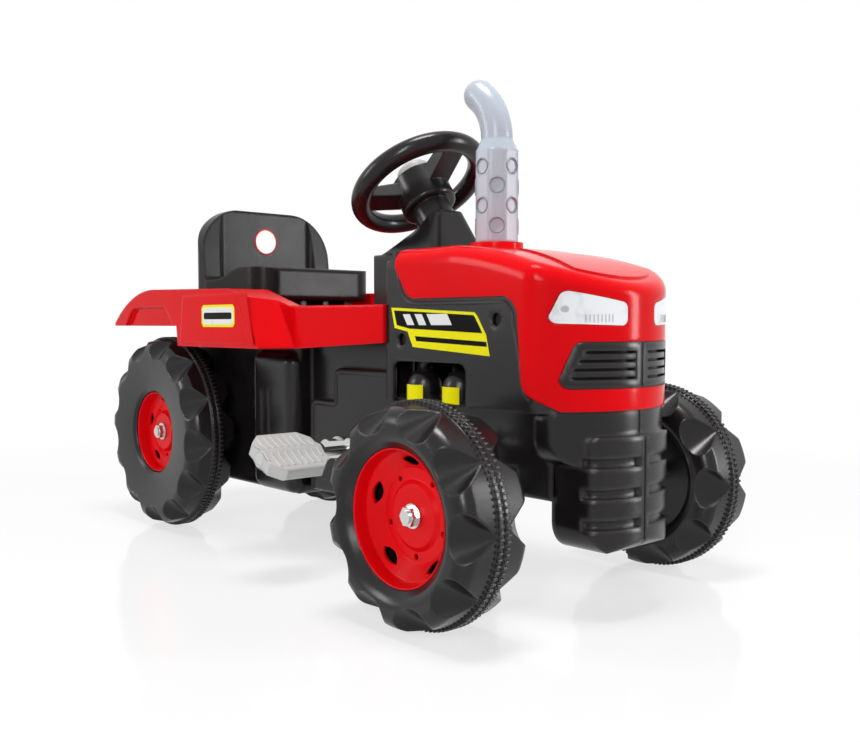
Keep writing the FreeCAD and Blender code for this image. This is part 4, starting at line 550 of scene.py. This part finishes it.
# Body beads: the rolled edge of the stepped gearbox casting, and the raised line that follows the
# hood on the side panel. Each corner of a path is rounded from as far off as its turn says.
bodyBeads = dict(
    gearbox=dict(path=((-137.0, 212.4), (-21.6, 212.4), (-21.6, 174.4), (26.4, 174.4),
                       (26.4, 71.4)), turns=(0, 8.0, 5.0, 8.0, 0), x=69.4, radius=4.2),
    panel=dict(path=((-151.5, 341.0), (-165.0, 287.0), (-314.0, 287.0), (-332.0, 203.0),
                     (-340.0, 198.0)), turns=(0, 22.0, 12.0, 5.0, 0), x=93.0, radius=2.3),
)
beadSteps = dict(turn=6, round=14)


def roundedPath(corners, turns):
    path = []
    for k, corner in enumerate(corners):
        if not turns[k]:
            path.append(corner)
            continue
        back = (corners[k - 1] - corner).normalized()
        ahead = (corners[k + 1] - corner).normalized()
        for step in range(beadSteps["turn"] + 1):
            share = step / beadSteps["turn"]
            path.append(corner + back * turns[k] * (1 - share) ** 2 + ahead * turns[k] * share ** 2)
    return path


def tubeRings(path, radius):
    rings = []
    for k, spot in enumerate(path):
        along = (path[min(k + 1, len(path) - 1)] - path[max(k - 1, 0)]).normalized()
        across = (Vector((1, 0, 0)) - along * along.x).normalized()
        up = along.cross(across)
        rings.append([tuple(spot + across * radius * c + up * radius * s)
                      for c, s in circle(beadSteps["round"])])
    return rings


def makeBodyBeads():
    for label, look in bodyBeads.items():
        for sideName, side in sides.items():
            corners = [Vector((side * look["x"], y, z)) for y, z in look["path"]]
            rings = tubeRings(roundedPath(corners, look["turns"]), look["radius"])
            meshPiece(f"{label}Bead_{sideName}", *ringMesh(rings), "frame", "satinBlackHdpe",
                      "black_body")


makeBodyBeads()

# Rim flanges: the red wall of each wheel dish, up to the bead of the tyre. A section is a row of
# radius and distance from the middle plane.
rimFlanges = dict(
    steps=72,
    front=((58.4, 191.4), (61.2, 191.4), (61.2, 203.0), (60.4, 204.2), (59.4, 203.6),
           (58.8, 199.0)),
    rear=((49.9, 138.6), (52.7, 138.6), (52.7, 150.6), (51.9, 151.8), (50.9, 151.2),
          (50.3, 146.0)),
)


def makeRimFlanges():
    for end, place in wheelPlaces.items():
        _, y, z = place["centre"]
        for sideName, side in sides.items():
            rings = [[(side * x, y + radius * s, z + radius * c) for radius, x in rimFlanges[end]]
                     for c, s in circle(rimFlanges["steps"])]
            meshPiece(f"{end}RimFlange_{sideName}", *ringMesh(rings, loop=True),
                      place["bodies"][sideName], "rimRedPolypropylene", "rim_red")


makeRimFlanges()

# Lens comb: short upright ribs and a small round reflector moulded into each headlight lens.
lensComb = dict(first=36.0, pitch=3.4, count=8, width=1.0, low=268.5, high=275.5, proud=0.2,
                sink=0.8, bulb=(75.5, 280.0), bulbRadius=3.0, bulbSteps=24)


def lensForm(node, side, outline):
    hits = [frontHit(node, side * x, z)[0] for x, z in outline]
    if any(hit is None for hit in hits):
        return []
    return [ringMesh([[(side * x, hit.y + shift, z) for (x, z), hit in zip(outline, hits)]
                      for shift in (lensComb["sink"], -lensComb["proud"])])]


def makeLensComb():
    look = lensComb
    low, high = look["low"], look["high"]
    bulbX, bulbZ = look["bulb"]
    bulb = [(bulbX + look["bulbRadius"] * c, bulbZ + look["bulbRadius"] * s)
            for c, s in circle(look["bulbSteps"])]
    for sideName, side in sides.items():
        lens = f"headlight_{sideName}"
        forms = []
        for i in range(look["count"]):
            near = look["first"] + look["pitch"] * i
            far = near + look["width"]
            forms += lensForm(lens, side, ((near, low), (far, low), (far, high), (near, high)))
        forms += lensForm(lens, side, bulb)
        meshPiece(f"lensComb_{sideName}", *joinMeshes(forms), "frame", "paleGreyPolypropylene",
                  "clear_lens")


makeLensComb()

# Stack rims: a raised ring round every round mark of the exhaust stack.
stackRims = dict(axisY=-207.0, faces=8, face=22.0, low=351.0, high=446.0,
                 rowShares=((0.82, 0.40), (0.61, 0.18)), radius=7.9, tube=0.7, steps=28,
                 tubeSteps=8)


def stackRim(middle, outward, across):
    look = stackRims
    rings = []
    for c, s in circle(look["steps"]):
        spoke = across * c + Vector((0, 0, 1)) * s
        rings.append([tuple(middle + spoke * (look["radius"] + look["tube"] * out)
                            + outward * look["tube"] * lift)
                      for out, lift in circle(look["tubeSteps"])])
    return ringMesh(rings, loop=True)


def makeStackRims():
    look = stackRims
    rims = []
    for k, (c, s) in enumerate(circle(look["faces"])):
        outward, across = Vector((c, s, 0)), Vector((-s, c, 0))
        for share in look["rowShares"][k % 2]:
            height = look["low"] + (look["high"] - look["low"]) * share
            middle = Vector((0, look["axisY"], height)) + outward * look["face"]
            rims.append(stackRim(middle, outward, across))
    meshPiece("stackRims", *joinMeshes(rims), "frame", "silverGreyHdpe", "silver_plastic")


makeStackRims()

# Horn cap: the tall pale dome on the horn button, along the leaning steering column.
hornCap = dict(centre=(0.0, -85.0, 425.0), lean=34.0, low=8.2, shoulder=17.0, top=24.0, radius=20.0,
               footCut=0.6, tuck=1.08, domeSteps=6, steps=48, roundMm=0.6)


def makeHornCap():
    look = hornCap
    lean = math.radians(look["lean"])
    up = Vector((0, math.sin(lean), math.cos(lean)))
    across, back = Vector((1, 0, 0)), Vector((0, math.cos(lean), -math.sin(lean)))
    radius, shoulder = look["radius"], look["shoulder"]
    dome = look["top"] - shoulder
    section = [(radius - look["footCut"], look["low"]), (radius, look["low"] + look["footCut"]),
               (radius, shoulder)]
    for k in range(1, look["domeSteps"] + 1):
        climb = math.radians(90 * k / look["domeSteps"])
        section.append((radius - dome * look["tuck"] * (1 - math.cos(climb)),
                        shoulder + dome * math.sin(climb)))
    rings = [[tuple(Vector(look["centre"]) + up * height + across * reach * c + back * reach * s)
              for c, s in circle(look["steps"])] for reach, height in section]
    meshPiece("hornCap", *ringMesh(rings), "horn", "paleGreyPolypropylene", "grey_plastic",
              roundMm=look["roundMm"])


makeHornCap()
print("seam, beads, flanges, combs, rims and cap made")


# Rays that see the white surround as it is: from the camera, off gloss and through lenses.
def seenRays(tree):
    rays = addNode(tree, "ShaderNodeLightPath").outputs
    seen = addNode(tree, "ShaderNodeMath", None,
                   {0: rays["Is Camera Ray"], 1: rays["Is Glossy Ray"]}, operation="MAXIMUM")
    return addNode(tree, "ShaderNodeMath", None,
                   {0: seen.outputs[0], 1: rays["Is Transmission Ray"]},
                   operation="MAXIMUM").outputs[0]


# Stage: white paper that fades into the white surround, so that no horizon shows behind the object.
stageLook = dict(paperColour="#f3f3f4", half=6.0, level=-0.0013, fadeStart=0.55, fadeEnd=1.4,
                 whiteShare=0.66, fibreMm=3, roughness=(0.07, 0.13), shine=0.5)


def seamlessPaper():
    look = stageLook
    material, tree = newMaterial("seamlessPaper")
    place = addNode(tree, "ShaderNodeTexCoord").outputs["Object"]
    fibre = addNode(tree, "ShaderNodeTexNoise", {"Scale": 1 / (look["fibreMm"] * mm)},
                    {"Vector": place}).outputs[0]
    gloss = addNode(tree, "ShaderNodeMapRange",
                    {"To Min": look["roughness"][0], "To Max": look["roughness"][1]},
                    {"Value": fibre}).outputs[0]
    reach = addNode(tree, "ShaderNodeVectorMath", None, {0: place},
                    operation="LENGTH").outputs["Value"]
    fade = addNode(tree, "ShaderNodeMapRange",
                   {"From Min": look["fadeStart"], "From Max": look["fadeEnd"]},
                   {"Value": reach}, interpolation_type="SMOOTHSTEP").outputs[0]
    paper = addNode(tree, "ShaderNodeBsdfPrincipled",
                    {"Base Color": hexColour(look["paperColour"]),
                     "Specular IOR Level": look["shine"]}, {"Roughness": gloss})
    share = addNode(tree, "ShaderNodeMath", {1: look["whiteShare"]}, {0: seenRays(tree)},
                    operation="MULTIPLY").outputs[0]
    white = addNode(tree, "ShaderNodeEmission", {"Color": (1, 1, 1, 1), "Strength": 1.0})
    lit = addNode(tree, "ShaderNodeMixShader", None,
                  {0: share, 1: paper.outputs[0], 2: white.outputs[0]})
    clear = addNode(tree, "ShaderNodeBsdfTransparent")
    shader = addNode(tree, "ShaderNodeMixShader", None,
                     {0: fade, 1: lit.outputs[0], 2: clear.outputs[0]})
    finishMaterial(tree, shader)
    return material


def makeFloor():
    half, level = stageLook["half"], stageLook["level"]
    mesh = bpy.data.meshes.new("studioFloor")
    mesh.from_pydata([(-half, -half, level), (half, -half, level), (half, half, level),
                      (-half, half, level)], [], [(0, 1, 2, 3)])
    floor = bpy.data.objects.new("studioFloor", mesh)
    bpy.context.collection.objects.link(floor)
    floor.data.materials.append(seamlessPaper())


# Surround: white where it is seen, with a softer fill on everything.
worldLook = dict(seen=1.0, fill=0.16)


def makeWorld():
    world = bpy.data.worlds.new("studioWhite")
    bpy.context.scene.world = world
    world.use_nodes = True
    tree = world.node_tree
    tree.nodes.clear()
    strength = addNode(tree, "ShaderNodeMapRange",
                       {"To Min": worldLook["fill"], "To Max": worldLook["seen"]},
                       {"Value": seenRays(tree)}).outputs[0]
    sky = addNode(tree, "ShaderNodeBackground", {"Color": (1, 1, 1, 1)}, {"Strength": strength})
    addNode(tree, "ShaderNodeOutputWorld", links={"Surface": sky.outputs[0]})


def placeAimed(name, data, at, aim):
    holder = bpy.data.objects.new(name, data)
    bpy.context.collection.objects.link(holder)
    holder.location = at
    holder.rotation_euler = (Vector(aim) - Vector(at)).to_track_quat("-Z", "Y").to_euler()
    return holder


# Soft boxes in metres and watts.
lampSet = dict(
    overheadBox=dict(at=(-0.2, -0.3, 2.3), aim=(0, 0, 0.2), size=(0.8, 0.5), watts=36),
    keyStrip=dict(at=(-1.9, -1.5, 1.1), aim=(0, -0.1, 0.25), size=(0.28, 1.1), watts=27),
    frontStrip=dict(at=(1.5, -2.0, 0.66), aim=(0, -0.2, 0.25), size=(0.32, 1.2), watts=32),
    rearBox=dict(at=(-1.9, 1.3, 1.0), aim=(0, 0.1, 0.25), size=(0.5, 1.0), watts=17),
)


def makeLamps():
    for name, lamp in lampSet.items():
        light = bpy.data.lights.new(name, "AREA")
        light.shape = "RECTANGLE"
        light.size, light.size_y = lamp["size"]
        light.energy = lamp["watts"]
        placeAimed(name, light, lamp["at"], lamp["aim"])


# Camera fitted to the wheels and straight edges of the photograph.
cameraFit = dict(at=(-0.7279, -0.9127, 0.2676), aim=(0.0860, -0.0070, 0.2069), lens=40.22,
                 sensor=36.0)


def makeCamera():
    camera = bpy.data.cameras.new("photoCamera")
    camera.sensor_fit = "HORIZONTAL"
    camera.sensor_width = cameraFit["sensor"]
    camera.lens = cameraFit["lens"]
    bpy.context.scene.camera = placeAimed("photoCamera", camera, cameraFit["at"], cameraFit["aim"])


makeFloor()
makeWorld()
makeLamps()
makeCamera()
bpy.context.scene.view_settings.view_transform = "Standard"
print("stage, lamps and camera set")
